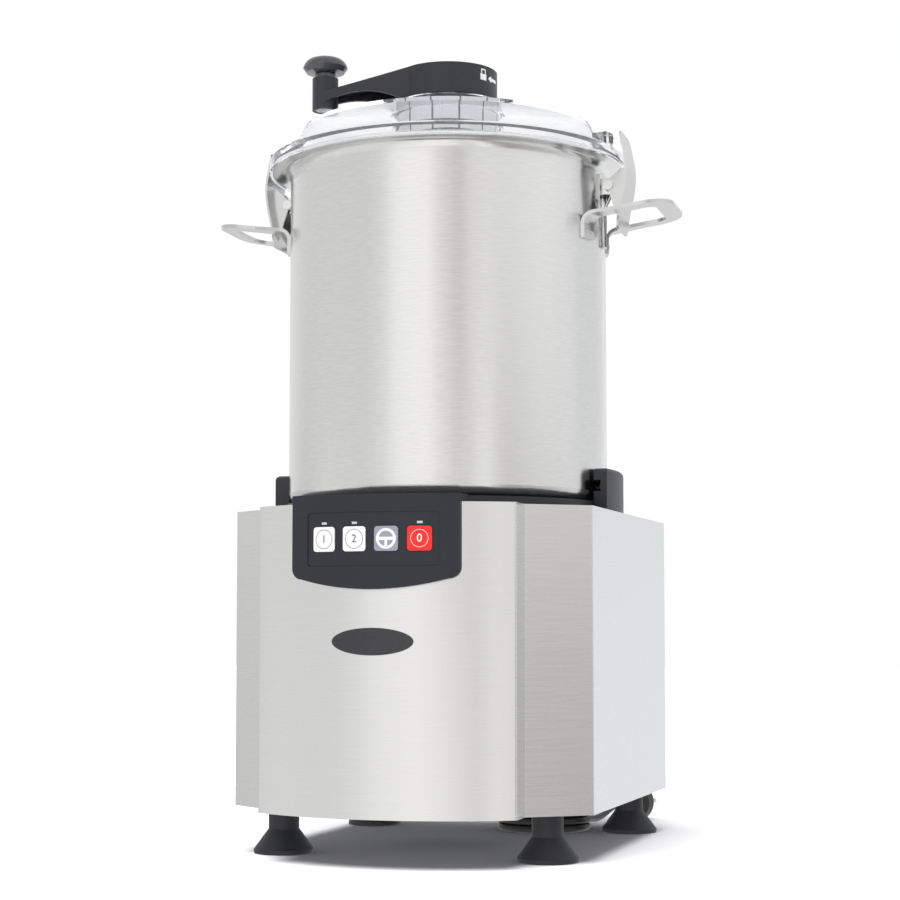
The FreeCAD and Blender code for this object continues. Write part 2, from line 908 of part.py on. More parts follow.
def shaft_seal():
    """Rubber lip seal at the top of the deck's collar."""
    low, high = collar_top - seal_height, collar_top
    inner = shaft_radius + running
    return turned(
        (inner, high - seal_lip), (inner + seal_lip, high), (seal_radius, high),
        (seal_radius, low), (inner + seal_lip, low), (inner + seal_lip, high - 2 * seal_lip),
    )


def motor_shaft():
    """Stepped shaft from the fan to the threaded stub above the blades."""
    return turned(
        (0, shaft_bottom), (shaft_radius - shaft_edge, shaft_bottom),
        (shaft_radius, shaft_bottom + shaft_edge), (shaft_radius, cutter_top),
        (stub_radius, cutter_top), (stub_radius, stub_top - shaft_edge),
        (stub_radius - shaft_edge, stub_top), (0, stub_top),
    )


def fan():
    """Cooling fan on the shaft's lower end."""
    low, high = shaft_bottom, shaft_bottom + fan_height
    hub = ring(shaft_radius + fan_hub, shaft_radius, low, high)
    plate = ring(fan_radius, shaft_radius, high - fan_sheet, high)
    blades = []
    for step in range(fan_blades):
        blade = block(shaft_radius + fan_hub - 1, fan_radius - 1, -fan_sheet / 2, fan_sheet / 2,
                      low + fan_sheet, high - fan_sheet / 2)
        blades.append(turn(blade, 360 / fan_blades * step))
    return joined(hub, plate, *blades)


def cutter_hub():
    """Sleeve over the bowl's tube, closed at the top and driven by the shaft."""
    inner = tube_radius + sleeve_gap
    return turned(
        (inner, cutter_bottom), (cutter_foot, cutter_bottom), (cutter_foot, low_blade),
        (cutter_sleeve, low_blade), (cutter_sleeve, cutter_top - cutter_chamfer),
        (cutter_sleeve - cutter_chamfer, cutter_top), (shaft_radius, cutter_top),
        (shaft_radius, cutter_roof), (inner, cutter_roof),
    )


def blade(low):
    """Flat S-shaped blade: a ring and two sickle arms with bevelled edges."""
    high = low + blade_sheet
    inner = cutter_foot - blade_root
    root, belly = polar(inner, -38), polar(blade_reach * 0.7, -4)
    tip, heel = polar(blade_reach, 28), polar(blade_reach * 0.96, 36)
    hollow, back = polar(blade_reach * 0.58, 30), polar(inner, 48)
    arm = plan(low, high, root, (*belly, True), tip, heel, (*hollow, True), back)
    edge = min(
        (e for e in arm.Edges if e.CenterOfMass.z > high - blade_bevel / 4),
        key=lambda e: (e.CenterOfMass - Vector(*belly, high)).Length,
    )
    arm = arm.makeChamfer(blade_bevel, [edge])
    whole = joined(disc(spacer_radius + 1, low, high), arm, turn(arm, 180))
    return whole.cut(disc(cutter_sleeve, low - 1, high + 1))


def hub_nut():
    """Domed nut that clamps the blades' hub on the shaft's stub."""
    low, high = cutter_top, cutter_top + nut_height
    return turned(
        (stub_radius, low), (nut_radius, low), (nut_radius, low + nut_flat),
        (nut_radius - nut_shoulder, high - nut_crown), (nut_radius - nut_dome, high), (0, high),
        (0, stub_top + gap), (stub_radius, stub_top + gap),
    )


def bowl():
    """Drawn stainless bowl with a flared rim and a central tube."""
    low = bowl_bottom
    corner_in = bowl_corner - bowl_wall
    corner_r = bowl_radius - bowl_corner
    flare = bowl_radius + flange_bend
    flare_z = bowl_top - bowl_wall - flange_bend
    cos = math.sqrt(0.5)
    return turned(
        (tube_radius - bowl_wall, low), (corner_r, low),
        (corner_r + bowl_corner * cos, low + bowl_corner * (1 - cos), True),
        (bowl_radius, low + bowl_corner), (bowl_radius, flare_z),
        (flare - flange_bend * cos, flare_z + flange_bend * cos, True),
        (flare, bowl_top - bowl_wall), (flange_radius, bowl_top - bowl_wall),
        (flange_radius, bowl_top), (flare, bowl_top),
        (flare - (flange_bend + bowl_wall) * cos, flare_z + (flange_bend + bowl_wall) * cos, True),
        (bowl_inner, flare_z), (bowl_inner, low + bowl_floor + corner_in),
        (corner_r + corner_in * cos, low + bowl_floor + corner_in * (1 - cos), True),
        (corner_r, low + bowl_floor), (tube_radius, low + bowl_floor),
        (tube_radius, tube_top), (tube_radius - bowl_wall, tube_top),
    )


def lock_pin_piece():
    """Bayonet pin welded to the right of the bowl."""
    pin = rod(lock_pin, (bowl_inner, 0, lock_pin_z), (lock_pin_reach, 0, lock_pin_z))
    return pin.cut(disc(bowl_radius, lock_pin_z - 2 * lock_pin, lock_pin_z + 2 * lock_pin))


def handle():
    """Bent sheet D loop that rises outwards, with two tabs on the bowl's wall."""
    slope = math.tan(math.radians(handle_slope))
    turn_by = math.radians(90 - handle_slope)
    outer_bend = handle_bend + handle_sheet
    middle = bowl_radius + outer_bend
    arm_r = middle - outer_bend * math.cos(turn_by)
    arm_z = handle_tip_z - slope * (handle_reach - arm_r)
    bend_z = arm_z - outer_bend * math.sin(turn_by)
    low = bend_z - handle_tab
    end = handle_reach + handle_sheet

    def bend_point(radius, share):
        """A point of the bend, at a share of its turn."""
        return middle - radius * math.cos(turn_by * share), bend_z + radius * math.sin(turn_by * share)

    under_r, under_z = bend_point(handle_bend, 1)
    dish = turned(
        (bowl_radius, low), (bowl_radius + handle_sheet, low),
        (bowl_radius + handle_sheet, bend_z), (*bend_point(handle_bend, 0.5), True),
        (under_r, under_z), (end, under_z + slope * (end - under_r)),
        (end, arm_z + slope * (end - arm_r)), (arm_r, arm_z),
        (*bend_point(outer_bend, 0.5), True), (bowl_radius, bend_z),
    )
    half, reach, round_r = handle_half, handle_reach, handle_corner
    wide = half - handle_width + handle_tab_width
    start = bowl_radius / 2
    outer = plan(
        low - 1, handle_tip_z + 1, (start, -wide), (bowl_radius + handle_sheet, -wide),
        (bowl_radius + handle_tab_end, -half), (reach - round_r, -half),
        (reach - bulge(round_r), bulge(round_r) - half, True), (reach, round_r - half),
        (reach, half - round_r), (reach - bulge(round_r), half - bulge(round_r), True),
        (reach - round_r, half), (bowl_radius + handle_tab_end, half),
        (bowl_radius + handle_sheet, wide), (start, wide),
    )
    inner_r = round_r - handle_width
    inner_half, inner_reach = half - handle_width, reach - handle_width
    hollow = bulge(inner_r)
    inner = plan(
        low - 2, handle_tip_z + 2, (start - 1, -inner_half), (inner_reach - inner_r, -inner_half),
        (inner_reach - hollow, hollow - inner_half, True), (inner_reach, inner_r - inner_half),
        (inner_reach, inner_half - inner_r), (inner_reach - hollow, inner_half - hollow, True),
        (inner_reach - inner_r, inner_half), (start - 1, inner_half),
    )
    return dish.common(outer.cut(inner))


def clip_bracket():
    """Steel channel welded to the bowl with two ears for the clip's pin."""
    low, high = clip_pivot_z - bracket_drop, clip_pivot_z + bracket_rise
    angle = math.degrees(math.asin(bracket_half / bowl_radius))
    base = sector(bowl_radius + bracket_plate, bowl_radius, low, high, -angle, angle)
    ears = []
    for first, last in ((-ear_half, bracket_plate - ear_half), (ear_half - bracket_plate, ear_half)):
        ear = block(bowl_radius, clip_pivot_r, first, last, clip_pivot_z - ear_rise,
                    clip_pivot_z + ear_rise)
        eye = rod(ear_rise, (clip_pivot_r, first, clip_pivot_z), (clip_pivot_r, last, clip_pivot_z))
        ears.append(ear.fuse(eye).cut(disc(bowl_radius + bracket_plate / 2, low - 1, high + 1)))
    pin = rod(clip_pin, (clip_pivot_r, -ear_half - 1, clip_pivot_z),
              (clip_pivot_r, ear_half + 1, clip_pivot_z))
    return joined(base, *ears).cut(pin)


def clip_pin_piece():
    """Rivet through the bracket's ears and the clip's cheeks."""
    reach = cheek_space + clip_sheet + gap
    pin = rod(clip_pin, (clip_pivot_r, -reach, clip_pivot_z), (clip_pivot_r, reach, clip_pivot_z))
    heads = []
    for sign in (-1, 1):
        heads.append(rod(clip_pin + rivet_head, (clip_pivot_r, sign * reach, clip_pivot_z),
                         (clip_pivot_r, sign * (reach + rivet_height), clip_pivot_z)))
    return joined(pin, *heads)


def clip_line(shift):
    """The lever's inner side from its foot to its top as a bowed line, moved outwards."""
    belly_z = clip_pivot_z + clip_belly_rise
    base = lid_rim_radius - clip_sheet + shift
    points = [
        Vector(base - clip_foot, 0, clip_bottom),
        Vector(base + clip_waist, 0, (clip_bottom + belly_z) / 2),
        Vector(base + clip_belly, 0, belly_z),
        Vector(base + clip_shoulder, 0, (clip_top + belly_z) / 2),
        Vector(lid_rim_radius + gap + shift, 0, clip_top),
    ]
    line = Part.BSplineCurve()
    line.interpolate(points)
    return line.toShape(), points[0], points[-1]


def clip_lever():
    """Pressed steel lever: a broad bowed plate with two ears on the pin."""
    half = clip_width / 2
    inner, inner_foot, inner_top = clip_line(0)
    outer, outer_foot, outer_top = clip_line(clip_sheet)
    outline = Part.Wire([
        inner, Part.LineSegment(inner_top, outer_top).toShape(), outer,
        Part.LineSegment(outer_foot, inner_foot).toShape(),
    ])
    plate = moved(Part.Face(outline).extrude(Vector(0, 2 * half, 0)), 0, -half)
    corners = [edge for edge in plate.Edges
               if abs(abs(edge.CenterOfMass.y) - half) < 1e-3 and edge.Length < 2 * clip_sheet]
    plate = plate.makeFillet(clip_corner, corners)
    middle, low, high = clip_line(clip_sheet / 2)
    low_corner, high_corner = Vector(bowl_radius, 0, low.z), Vector(bowl_radius, 0, high.z)
    inside = Part.Wire([
        middle, Part.LineSegment(high, high_corner).toShape(),
        Part.LineSegment(high_corner, low_corner).toShape(),
        Part.LineSegment(low_corner, low).toShape(),
    ])
    space = moved(Part.Face(inside).extrude(Vector(0, 2 * half, 0)), 0, -half)
    reach = lid_rim_radius + clip_belly
    ears = []
    for first in (-cheek_space - clip_sheet, cheek_space):
        ear = front(
            first, first + clip_sheet,
            (clip_pivot_r, clip_pivot_z - cheek_round), (low.x, cheek_bottom),
            (reach, cheek_bottom), (reach, cheek_top),
            (lid_rim_radius + gap, cheek_top), (clip_pivot_r, clip_pivot_z + cheek_round),
            (clip_pivot_r - cheek_round, clip_pivot_z, True),
        )
        ears.append(ear.common(space))
    lever = joined(plate, *ears)
    hole = rod(clip_pin + running, (clip_pivot_r, -half - 1, clip_pivot_z),
               (clip_pivot_r, half + 1, clip_pivot_z))
    return lever.cut(hole)


def clip_spring():
    """Torsion spring on the pin, its touching turns as one ribbed sleeve, and its two legs."""
    length = 2 * (ear_half - bracket_plate - gap)
    pitch = length / spring_turns
    valley = clip_pin + running + spring_wire
    crest = valley + spring_wire
    points = [(clip_pin + running, 0), (valley, 0)]
    for turn_number in range(spring_turns):
        points.append((crest, (turn_number + 0.5) * pitch, True))
        points.append((valley, (turn_number + 1) * pitch))
    points.append((clip_pin + running, length))
    coil = turned(*points)
    coil.rotate(ORIGIN, Vector(1, 0, 0), 90)
    coil = moved(coil, clip_pivot_r, length / 2, clip_pivot_z)
    leg_y = length / 2 - spring_wire
    wall_r = bowl_radius + gap + spring_wire
    knee_z, end_z = clip_pivot_z - spring_knee, clip_pivot_z - spring_leg
    legs = []
    for y in (-leg_y, leg_y):
        legs.append(rod(spring_wire, (clip_pivot_r + valley, y, clip_pivot_z - spring_wire),
                        (wall_r, y, knee_z)))
        legs.append(Part.makeSphere(spring_wire, Vector(wall_r, y, knee_z)))
        legs.append(rod(spring_wire, (wall_r, y, knee_z), (wall_r, y, end_z)))
        legs.append(Part.makeSphere(spring_wire, Vector(wall_r, y, end_z)))
    bar = rod(spring_wire, (wall_r, -leg_y, end_z), (wall_r, leg_y, end_z))
    return joined(coil, bar, *legs)


def lid():
    """Clear stepped lid with a rim, two lugs and a turret for the boss."""
    skirt = lid_rim_radius - lid_skirt
    under = lid_side_foot - lid_wall
    bore = scraper_shaft + lid_bore_gap
    edge = lid_wall / 2
    body = turned(
        (bore, lid_top), (bore, lid_roof), (lid_turret_radius - lid_wall, lid_roof),
        (lid_turret_radius - lid_wall, lid_turret_foot - lid_wall),
        (lid_side_top - lid_wall, lid_shelf_z - lid_wall),
        (under, lid_rim_bottom + lid_wall), (under, lid_rim_bottom), (skirt, lid_rim_bottom),
        (skirt, bowl_top - lid_skirt_drop), (lid_rim_radius, bowl_top - lid_skirt_drop),
        (lid_rim_radius, lid_rim_top - edge), (lid_rim_radius - edge, lid_rim_top),
        (lid_side_foot, lid_rim_top), (lid_side_top, lid_shelf_z),
        (lid_turret_radius + lid_wall, lid_turret_foot),
        (lid_turret_radius, lid_turret_foot + edge), (lid_turret_radius, lid_top - edge),
        (lid_turret_radius - edge, lid_top),
    )
    groove = ring(gasket_outer, gasket_inner, lid_rim_bottom - 1, lid_rim_bottom + gasket_sunk)
    body = body.cut(groove)
    lugs = []
    for angle in (side_angle, side_angle + 180):
        lugs.append(sector(lid_rim_radius, lug_inner, lid_rim_top - lug_root, lug_top,
                           angle - lug_angle, angle + lug_angle))
    body = joined(body, *lugs)
    body = body.cut(disc(magnet_radius, lug_top - magnet_height, lug_top + 1, magnet_x, magnet_y))
    for x, y in boss_screw_places:
        body = body.cut(disc(small_screw, lid_roof - 1, lid_top + 1, x, y))
        body = body.cut(disc(small_head, lid_top - screw_sunk, lid_top + 1, x, y))
    return body


def lid_boss():
    """Grey ribbed boss that carries the scraper's shaft under the lid."""
    skin = ring(boss_radius, boss_radius - boss_skin, boss_bottom, lid_roof)
    roof = disc(boss_radius, lid_roof - boss_skin, lid_roof)
    core = disc(boss_core, boss_core_bottom, lid_roof)
    parts = [roof, core]
    for step in range(boss_ribs):
        rib = block(boss_core - 1, boss_radius - 1, -boss_rib / 2, boss_rib / 2,
                    boss_bottom + boss_skin, lid_roof - 1)
        parts.append(turn(rib, 360 / boss_ribs * step))
    for x, y in boss_screw_places:
        parts.append(disc(boss_post, lid_roof - boss_screw_length - boss_skin, lid_roof - 1, x, y))
    whole = joined(skin, *parts)
    whole = whole.cut(disc(scraper_shaft + running, boss_core_bottom - 1, lid_roof + 1))
    for x, y in boss_screw_places:
        whole = whole.cut(disc(small_screw, lid_roof - boss_screw_length, lid_roof + 1, x, y))
    return whole


def crank_shape(shrink, drop):
    """Hub, arm and end boss of the crank along x, for its outside or its hollow."""
    hub = disc(hub_radius - shrink, hub_bottom - drop, hub_top - shrink)
    ratio = (crank_hub_side - end_boss) / crank_radius
    lean = math.sqrt(1 - ratio ** 2)
    near = crank_hub_side - shrink
    far = end_boss - shrink
    arm = plan(
        hub_bottom - hub_height, hub_top + 1, (near * ratio, near * lean),
        (near * ratio, -near * lean), (crank_radius + far * ratio, -far * lean),
        (crank_radius + far, 0, True), (crank_radius + far * ratio, far * lean),
    )
    end = crank_radius + 2 * end_boss
    profile = side(
        hub_radius, (0, hub_top - shrink), (crank_hub_side, hub_top - shrink),
        (arm_middle, arm_top_middle - shrink, True), (crank_radius, arm_top_end - shrink),
        (end, arm_top_end - shrink), (end, arm_top_end - arm_depth - drop),
        (crank_radius, arm_top_end - arm_depth - drop),
        (arm_middle, arm_top_middle - arm_depth - drop, True), (hub_radius, hub_bottom - drop),
        (0, hub_bottom - drop),
    )
    return hub.fuse(arm.common(profile))


def crank():
    """Moulded crank: dished hub, arched hollow arm and the boss for the knob."""
    outside = crank_shape(0, 0)
    boss = disc(end_boss, end_boss_bottom, end_boss_top, crank_radius, 0)
    hollow = crank_shape(hub_wall, hub_height)
    end_block = disc(end_boss, end_boss_bottom - 1, hub_top + 1, crank_radius, 0)
    shell = outside.fuse(boss).cut(hollow.cut(end_block))
    sleeve = disc(crank_sleeve, hub_bottom, hub_top - 1)
    ribs = []
    for angle in (60, 120, 180, 240, 300):
        rib = block(crank_sleeve - 1, hub_radius - 1, -hub_rib / 2, hub_rib / 2,
                    hub_bottom + hub_wall, hub_top - 1)
        ribs.append(turn(rib, angle))
    whole = joined(shell, sleeve, *ribs)
    whole = whole.cut(disc(scraper_shaft, hub_bottom - 1, hub_top - hub_wall))
    seat = end_boss_top - boss_floor
    whole = whole.cut(disc(end_boss - hub_wall, end_boss_bottom - 1, seat, crank_radius, 0))
    return whole.cut(disc(knob_axle, seat - 1, end_boss_top + 1, crank_radius, 0))


def knob():
    """Mushroom knob that turns on its axle."""
    low = end_boss_top + gap
    rim = knob_top - knob_edge
    bore = knob_axle + running
    crown = knob_top - knob_crown
    return turned(
        (bore, low), (knob_neck, low), (knob_neck, low + 3.5), (knob_neck - 1.2, low + 4.5),
        (knob_radius - 3, rim - 4), (knob_radius, rim), (knob_radius - 2.4, rim + 5.4, True),
        (knob_radius - 9, rim + 9), (0, knob_top), (0, crown), (bore, crown),
    )


def knob_axle_piece():
    """Shouldered screw up through the crank's end boss."""
    seat = end_boss_top - boss_floor
    shank = disc(knob_axle, seat, knob_top - knob_crown - gap)
    head = disc(end_boss - hub_wall - 1, seat - foot_head_height, seat)
    return joined(shank, head)


def scraper():
    """Cross bar and two legs that carry the wall wipers."""
    high = scraper_bar_z + scraper_bar
    half = scraper_leg_width / 2
    bar = block(-scraper_outer, scraper_outer, 2 - half, half - 2, scraper_bar_z, high)
    bar = bar.common(disc(scraper_outer, scraper_bar_z, high))
    hub = disc(boss_core, scraper_bar_z - scraper_gap, high + scraper_hub_rise)
    angle = math.degrees(math.asin(half / scraper_outer))
    legs = [sector(scraper_outer, scraper_leg_inner, wiper_bottom + leg_lift, high,
                   a - angle, a + angle) for a in (0, 180)]
    whole = joined(bar, hub, *legs)
    return whole.cut(disc(scraper_shaft, scraper_bar_z - scraper_gap - 1,
                          high + scraper_hub_rise + 1))


def wiper():
    """Plastic strip on the outer face of a scraper leg."""
    angle = math.degrees(math.asin(wiper_width / 2 / scraper_outer))
    return sector(wiper_reach, scraper_outer, wiper_bottom, scraper_bar_z, -angle, angle)


def panel_prism(half_x, low, high, corner):
    """A prism with round corners that runs through the panel."""
    return rounded_box(-half_x, half_x, low, high, corner, -2 * front_radius, 0)


def panel_bezel():
    """Moulded panel that hooks over the cover's top edge, with a sunk field."""
    back = front_radius + panel_back
    corner = panel_corner
    cut = bulge(corner)
    outline = front(
        -2 * front_radius, 0,
        (panel_half, panel_top), (-panel_half, panel_top),
        (-panel_half, panel_side_bottom + corner),
        (cut - panel_half, panel_side_bottom + cut, True),
        (corner - panel_half, panel_side_bottom), (0, panel_bottom, True),
        (panel_half - corner, panel_side_bottom),
        (panel_half - cut, panel_side_bottom + cut, True),
        (panel_half, panel_side_bottom + corner),
    )
    shell = ring(panel_face, back, panel_bottom - 1, panel_top).common(outline)
    lip = ring(panel_face, front_radius - panel_lip, base_top + panel_back, panel_top)
    pegs = []
    for x, z in board_peg_places:
        pegs.append(rod(board_peg, (x, -math.sqrt(back ** 2 - x ** 2) - 1, z), (x, board_front, z)))
    field = panel_prism(field_half, field_bottom, field_top, button_corner)
    sunk = ring(panel_face + 1, field_floor, panel_bottom, panel_top).common(field)
    whole = joined(shell, lip.common(outline), *pegs).cut(sunk)
    for x in button_places:
        whole = whole.cut(button_hole(x))
    for x in lens_places:
        whole = whole.cut(lens_block(x))
    for x, z in board_peg_places:
        whole = whole.cut(rod(peg_screw, (x, board_front - peg_screw_depth, z),
                              (x, board_front + 1, z)))
    return whole


def button_outline(x, grow):
    """A button's rounded prism, grown all round."""
    half_x, half_z = button_width / 2 + grow, button_height / 2 + grow
    return rounded_box(x - half_x, x + half_x, button_z - half_z, button_z + half_z,
                       button_corner + grow, -2 * front_radius, button_back)


def button_hole(x):
    """The opening that a button slides in."""
    return button_outline(x, gap).cut(disc(front_radius - hole_depth, panel_bottom, panel_top))


def lens_block(x):
    """A small light pipe through the panel."""
    half_x, half_z = lens_width / 2, lens_height / 2
    prism = block(x - half_x, x + half_x, -2 * front_radius, 0, lens_z - half_z, lens_z + half_z)
    return prism.common(ring(field_face + lens_proud, front_radius - sheet,
                             panel_bottom, panel_top))


def panel_field():
    """Thin printed plate that fills the sunk field."""
    outline = panel_prism(field_half - fit_gap, field_bottom + fit_gap, field_top - fit_gap,
                          button_corner)
    plate = ring(field_face, field_floor, panel_bottom, panel_top).common(outline)
    for x in button_places:
        plate = plate.cut(button_hole(x))
    for x in lens_places:
        plate = plate.cut(lens_block(x))
    return plate


def button(x):
    """Square push button, retained by a flange behind the panel."""
    cap = button_outline(x, 0).common(disc(field_face + button_proud, panel_bottom, panel_top))
    far = abs(x) + button_width / 2 + button_flange
    stop = -math.sqrt((front_radius + panel_back) ** 2 - far ** 2) + gap
    half_x, half_z = button_width / 2 + button_flange, button_height / 2 + button_flange
    flange = block(x - half_x, x + half_x, stop, stop + button_stop,
                   button_z - half_z, button_z + half_z)
    return joined(cap, flange)


def control_board():
    """Circuit board on four pegs with four key switches and two chips."""
    half = field_half - board_space
    board = block(-half, half, board_front, board_front + board_sheet,
                  field_bottom + board_inset, field_top - board_inset)
    parts = []
    for x in button_places:
        key = key_switch / 2
        parts.append(block(x - key, x + key, board_front - key_switch_height,
                           board_front + board_sheet / 2, button_z - key, button_z + key))
        parts.append(rod(plunger, (x, button_back + button_travel + gap, button_z),
                         (x, board_front, button_z)))
    for x in (-button_pitch, button_pitch / 2):
        parts.append(block(x, x + button_width, board_front + board_sheet / 2, board_back,
                           button_z - key_switch, button_z + key_switch))
    whole = joined(board, *parts)
    for x, z in board_peg_places:
        whole = whole.cut(rod(peg_screw, (x, board_front - 1, z), (x, board_back, z)))
    return whole


def badge():
    """Blank oval plate on the bowed front."""
    oval = Part.Ellipse(Vector(0, 0, 0), badge_half_x, badge_half_z).toShape()
    oval.rotate(ORIGIN, Vector(1, 0, 0), 90)
    oval.translate(Vector(0, -2 * front_radius, badge_z))
    prism = Part.Face(Part.Wire([oval])).extrude(Vector(0, 2 * front_radius, 0))
    shell = ring(front_radius + badge_sheet, front_radius, badge_z - 2 * badge_half_z,
                 badge_z + 2 * badge_half_z)
    return prism.common(shell)


def capacitor():
    """Run capacitor standing on the bottom plate, its two terminals on top."""
    x, y = capacitor_x, capacitor_y
    high = plate_top + capacitor_height
    can = disc(capacitor_radius, plate_top, high, x, y)
    rim = ring(capacitor_radius, capacitor_radius - capacitor_rim, high, high + capacitor_rim, x, y)
    tabs = []
    for off in (-0.4 * capacitor_radius, 0.4 * capacitor_radius):
        tabs.append(block(x - capacitor_rim, x + capacitor_rim, y + off - sheet / 2,
                          y + off + sheet / 2, high, high + terminal_height))
    return joined(can, rim, *tabs)


def interlock_switch():
    """Sealed switch under the deck that senses the locked bowl."""
    x, low = post_inner - switch_in, deck_bottom - switch_height
    middle = low + switch_height / 2
    half = switch_length / 2
    body = block(x - half, x + half, -switch_half, switch_half, low, deck_bottom)
    outlet = rod(switch_outlet, (x - half - 2 * switch_outlet, 0, middle), (x, 0, middle))
    return joined(body, outlet)


def cord_tube(points, radius):
    """A round cord along straight runs joined by tangent arcs. Gives its radii too."""
    points = [Vector(*p) for p in points]
    edges, radii, here = [], [], points[0]
    for before, corner, after in zip(points, points[1:], points[2:]):
        way_in = (corner - before).normalize()
        way_out = (after - corner).normalize()
        shorter = min((corner - before).Length, (after - corner).Length)
        reach = 0.45 * shorter
        half_turn = way_in.getAngle(way_out) / 2
        radii.append(reach / math.tan(half_turn))
        start, end = corner - way_in * reach, corner + way_out * reach
        bisector = (way_out - way_in).normalize()
        depth = radii[-1] * (1 / math.cos(half_turn) - 1)
        edges.append(Part.LineSegment(here, start).toShape())
        edges.append(Part.Arc(start, corner + bisector * depth, end).toShape())
        here = end
    edges.append(Part.LineSegment(here, points[-1]).toShape())
    path = Part.Wire(edges)
    circle = Part.Circle(points[0], points[1] - points[0], radius).toShape()
    tube = path.makePipeShell([Part.Wire([circle])], True, False)
    return tube, path.Length, radii


def gland():
    """Moulded gland through the rear panel with its nut and ribbed sleeve."""
    steps = 5
    rise = relief_length / steps
    points = [(0, 0)]
    for step in range(steps):
        radius = relief_radius - (relief_radius - cord_radius - relief_wall) * step / (steps - 1)
        low = rise * step
        neck = radius - relief_wall
        points += [(radius, low), (radius, low + rise * 0.7), (neck, low + rise * 0.7),
                   (neck, low + rise)]
    points.append((0, relief_length))
    sleeve = turned(*points)
    sleeve.rotate(ORIGIN, Vector(1, 0, 0), -90)
    outer = back_y + sheet
    sleeve = moved(sleeve, exit_x, outer + gland_flange, exit_z)
    flange = rod(gland_bore + gland_rim, (exit_x, outer, exit_z),
                 (exit_x, outer + gland_flange, exit_z))
    neck = rod(gland_bore, (exit_x, back_y - gland_neck, exit_z), (exit_x, outer + 1, exit_z))
    nut = rod(gland_bore + gland_nut, (exit_x, back_y - gland_nut_height, exit_z),
              (exit_x, back_y, exit_z))
    return joined(flange, neck, nut, sleeve)


def plug():
    """Round moulded plug lying on the floor, with a tapered cord end."""
    body = turned(
        (0, 0), (1.6 * cord_radius, 0), (plug_radius * 0.42, plug_length * 0.5),
        (plug_radius * 0.86, plug_length * 0.62), (plug_radius, plug_length * 0.7),
        (plug_radius, plug_length), (0, plug_length),
    )
    pins = [disc(plug_pin, plug_length, plug_length + plug_pin_length, x, 0)
            for x in (-plug_pin_half, plug_pin_half)]
    placed = []
    for shape in (body, *pins):
        shape = shape.copy()
        shape.rotate(ORIGIN, Vector(1, 0, 0), -90)
        shape.rotate(ORIGIN, TOP, plug_turn)
        placed.append(moved(shape, plug_x, plug_y, plug_radius))
    return placed


os.makedirs("parts", exist_ok=True)

# Casing
save("wrap_cover", wrap_cover())
save("rear_panel", rear_panel())
save("bottom_plate", bottom_plate())
save("top_deck", deck())
save("lock_posts", lock_post(), turn(lock_post(), 180))
save("badge_plate", badge())
save("rubber_feet", *[moved(foot(), x, y) for x, y in foot_places])

# Chassis and motor
save("motor_plate", motor_plate())
save("chassis_pillars", *[moved(pillar(), x, y) for x, y in foot_places])
save("motor_housing", motor_housing())
save("stator_pack", stator())
save("upper_end_bell", upper_bell())
save("lower_end_bell", lower_bell())
save("bearings", bearing(upper_bearing_z), bearing(lower_bearing_z))
save("shaft_seal", shaft_seal())
save("run_capacitor", capacitor())
save("interlock_switch", interlock_switch())

# Turning with the motor
save("motor_shaft", motor_shaft())
save("rotor", ring(rotor_radius, shaft_radius, core_bottom, core_top))
save("motor_fan", fan())
save("cutter_hub", cutter_hub())
save("lower_blade", blade(low_blade))
save("upper_blade", turn(blade(high_blade), 90))
save("blade_spacers",
     ring(spacer_radius, cutter_sleeve, low_blade + blade_sheet, high_blade),
     ring(spacer_radius, cutter_sleeve, high_blade + blade_sheet,
          high_blade + blade_sheet + spacer_height))
save("hub_nut", hub_nut())

# Control panel
save("panel_bezel", panel_bezel())
save("panel_field", panel_field())
for button_name, x in zip(("speed_one", "speed_two", "pulse", "stop"), button_places):
    save(button_name + "_button", button(x))
save("indicator_lenses", *[lens_block(x) for x in lens_places])
save("control_board", control_board())

# Bowl
save("bowl", bowl())
save("lock_pins", lock_pin_piece(), turn(lock_pin_piece(), 180))
sides = (side_angle, side_angle + 180)
save("handles", *[turn(handle(), angle) for angle in sides])
save("clip_brackets", *[turn(clip_bracket(), angle) for angle in sides])
save("clip_pins", *[turn(clip_pin_piece(), angle) for angle in sides])
save("clip_springs", *[turn(clip_spring(), angle) for angle in sides])
save("clip_lever_right", turn(clip_lever(), sides[0]))
save("clip_lever_left", turn(clip_lever(), sides[1]))

# Lid
save("lid", lid())
save("lid_gasket", ring(gasket_outer, gasket_inner, bowl_top + gap, bowl_top + gap + gasket_height))
save("lid_boss", lid_boss())
save("lid_magnet", disc(magnet_radius, lug_top - magnet_height, lug_top - magnet_sunk,
                        magnet_x, magnet_y))

# Crank and scraper
save("crank", turn(crank(), crank_angle))
save("knob", turn(moved(knob(), crank_radius, 0), crank_angle))
save("knob_axle", turn(moved(knob_axle_piece(), crank_radius, 0), crank_angle))
save("scraper_shaft", disc(scraper_shaft, scraper_bar_z - scraper_gap, hub_top - hub_wall))
save("scraper", turn(scraper(), crank_angle))
save("wall_wipers", *[turn(wiper(), crank_angle + a) for a in (0, 180)])

# Fasteners
save("foot_screws", *[screw(foot_screw, foot_sink - 1, foot_head_height, (x, y, foot_sink_depth),
                            (x, y, plate_top + foot_screw_grip)) for x, y in foot_places])
fixings = [((x, y, motor_plate_top), (x, y, motor_plate_bottom - bell_thread))
           for x, y in bell_screw_places]
fixings += [((x, y, deck_bottom), (x, y, base_top + post_screw_depth - 2))
            for x, y in post_screw_places]
fixings += [((x, back_y + sheet, z), (x, back_y - rear_screw_grip, z))
            for x, z in rear_screw_places]
save("machine_screws", *[screw(small_screw, small_head, small_head_height, start, end)
                         for start, end in fixings])
save("boss_screws", *[screw(small_screw, small_head - fit_gap, screw_sunk - fit_gap,
                            (x, y, lid_top - screw_sunk), (x, y, lid_roof - boss_screw_length))
                      for x, y in boss_screw_places])

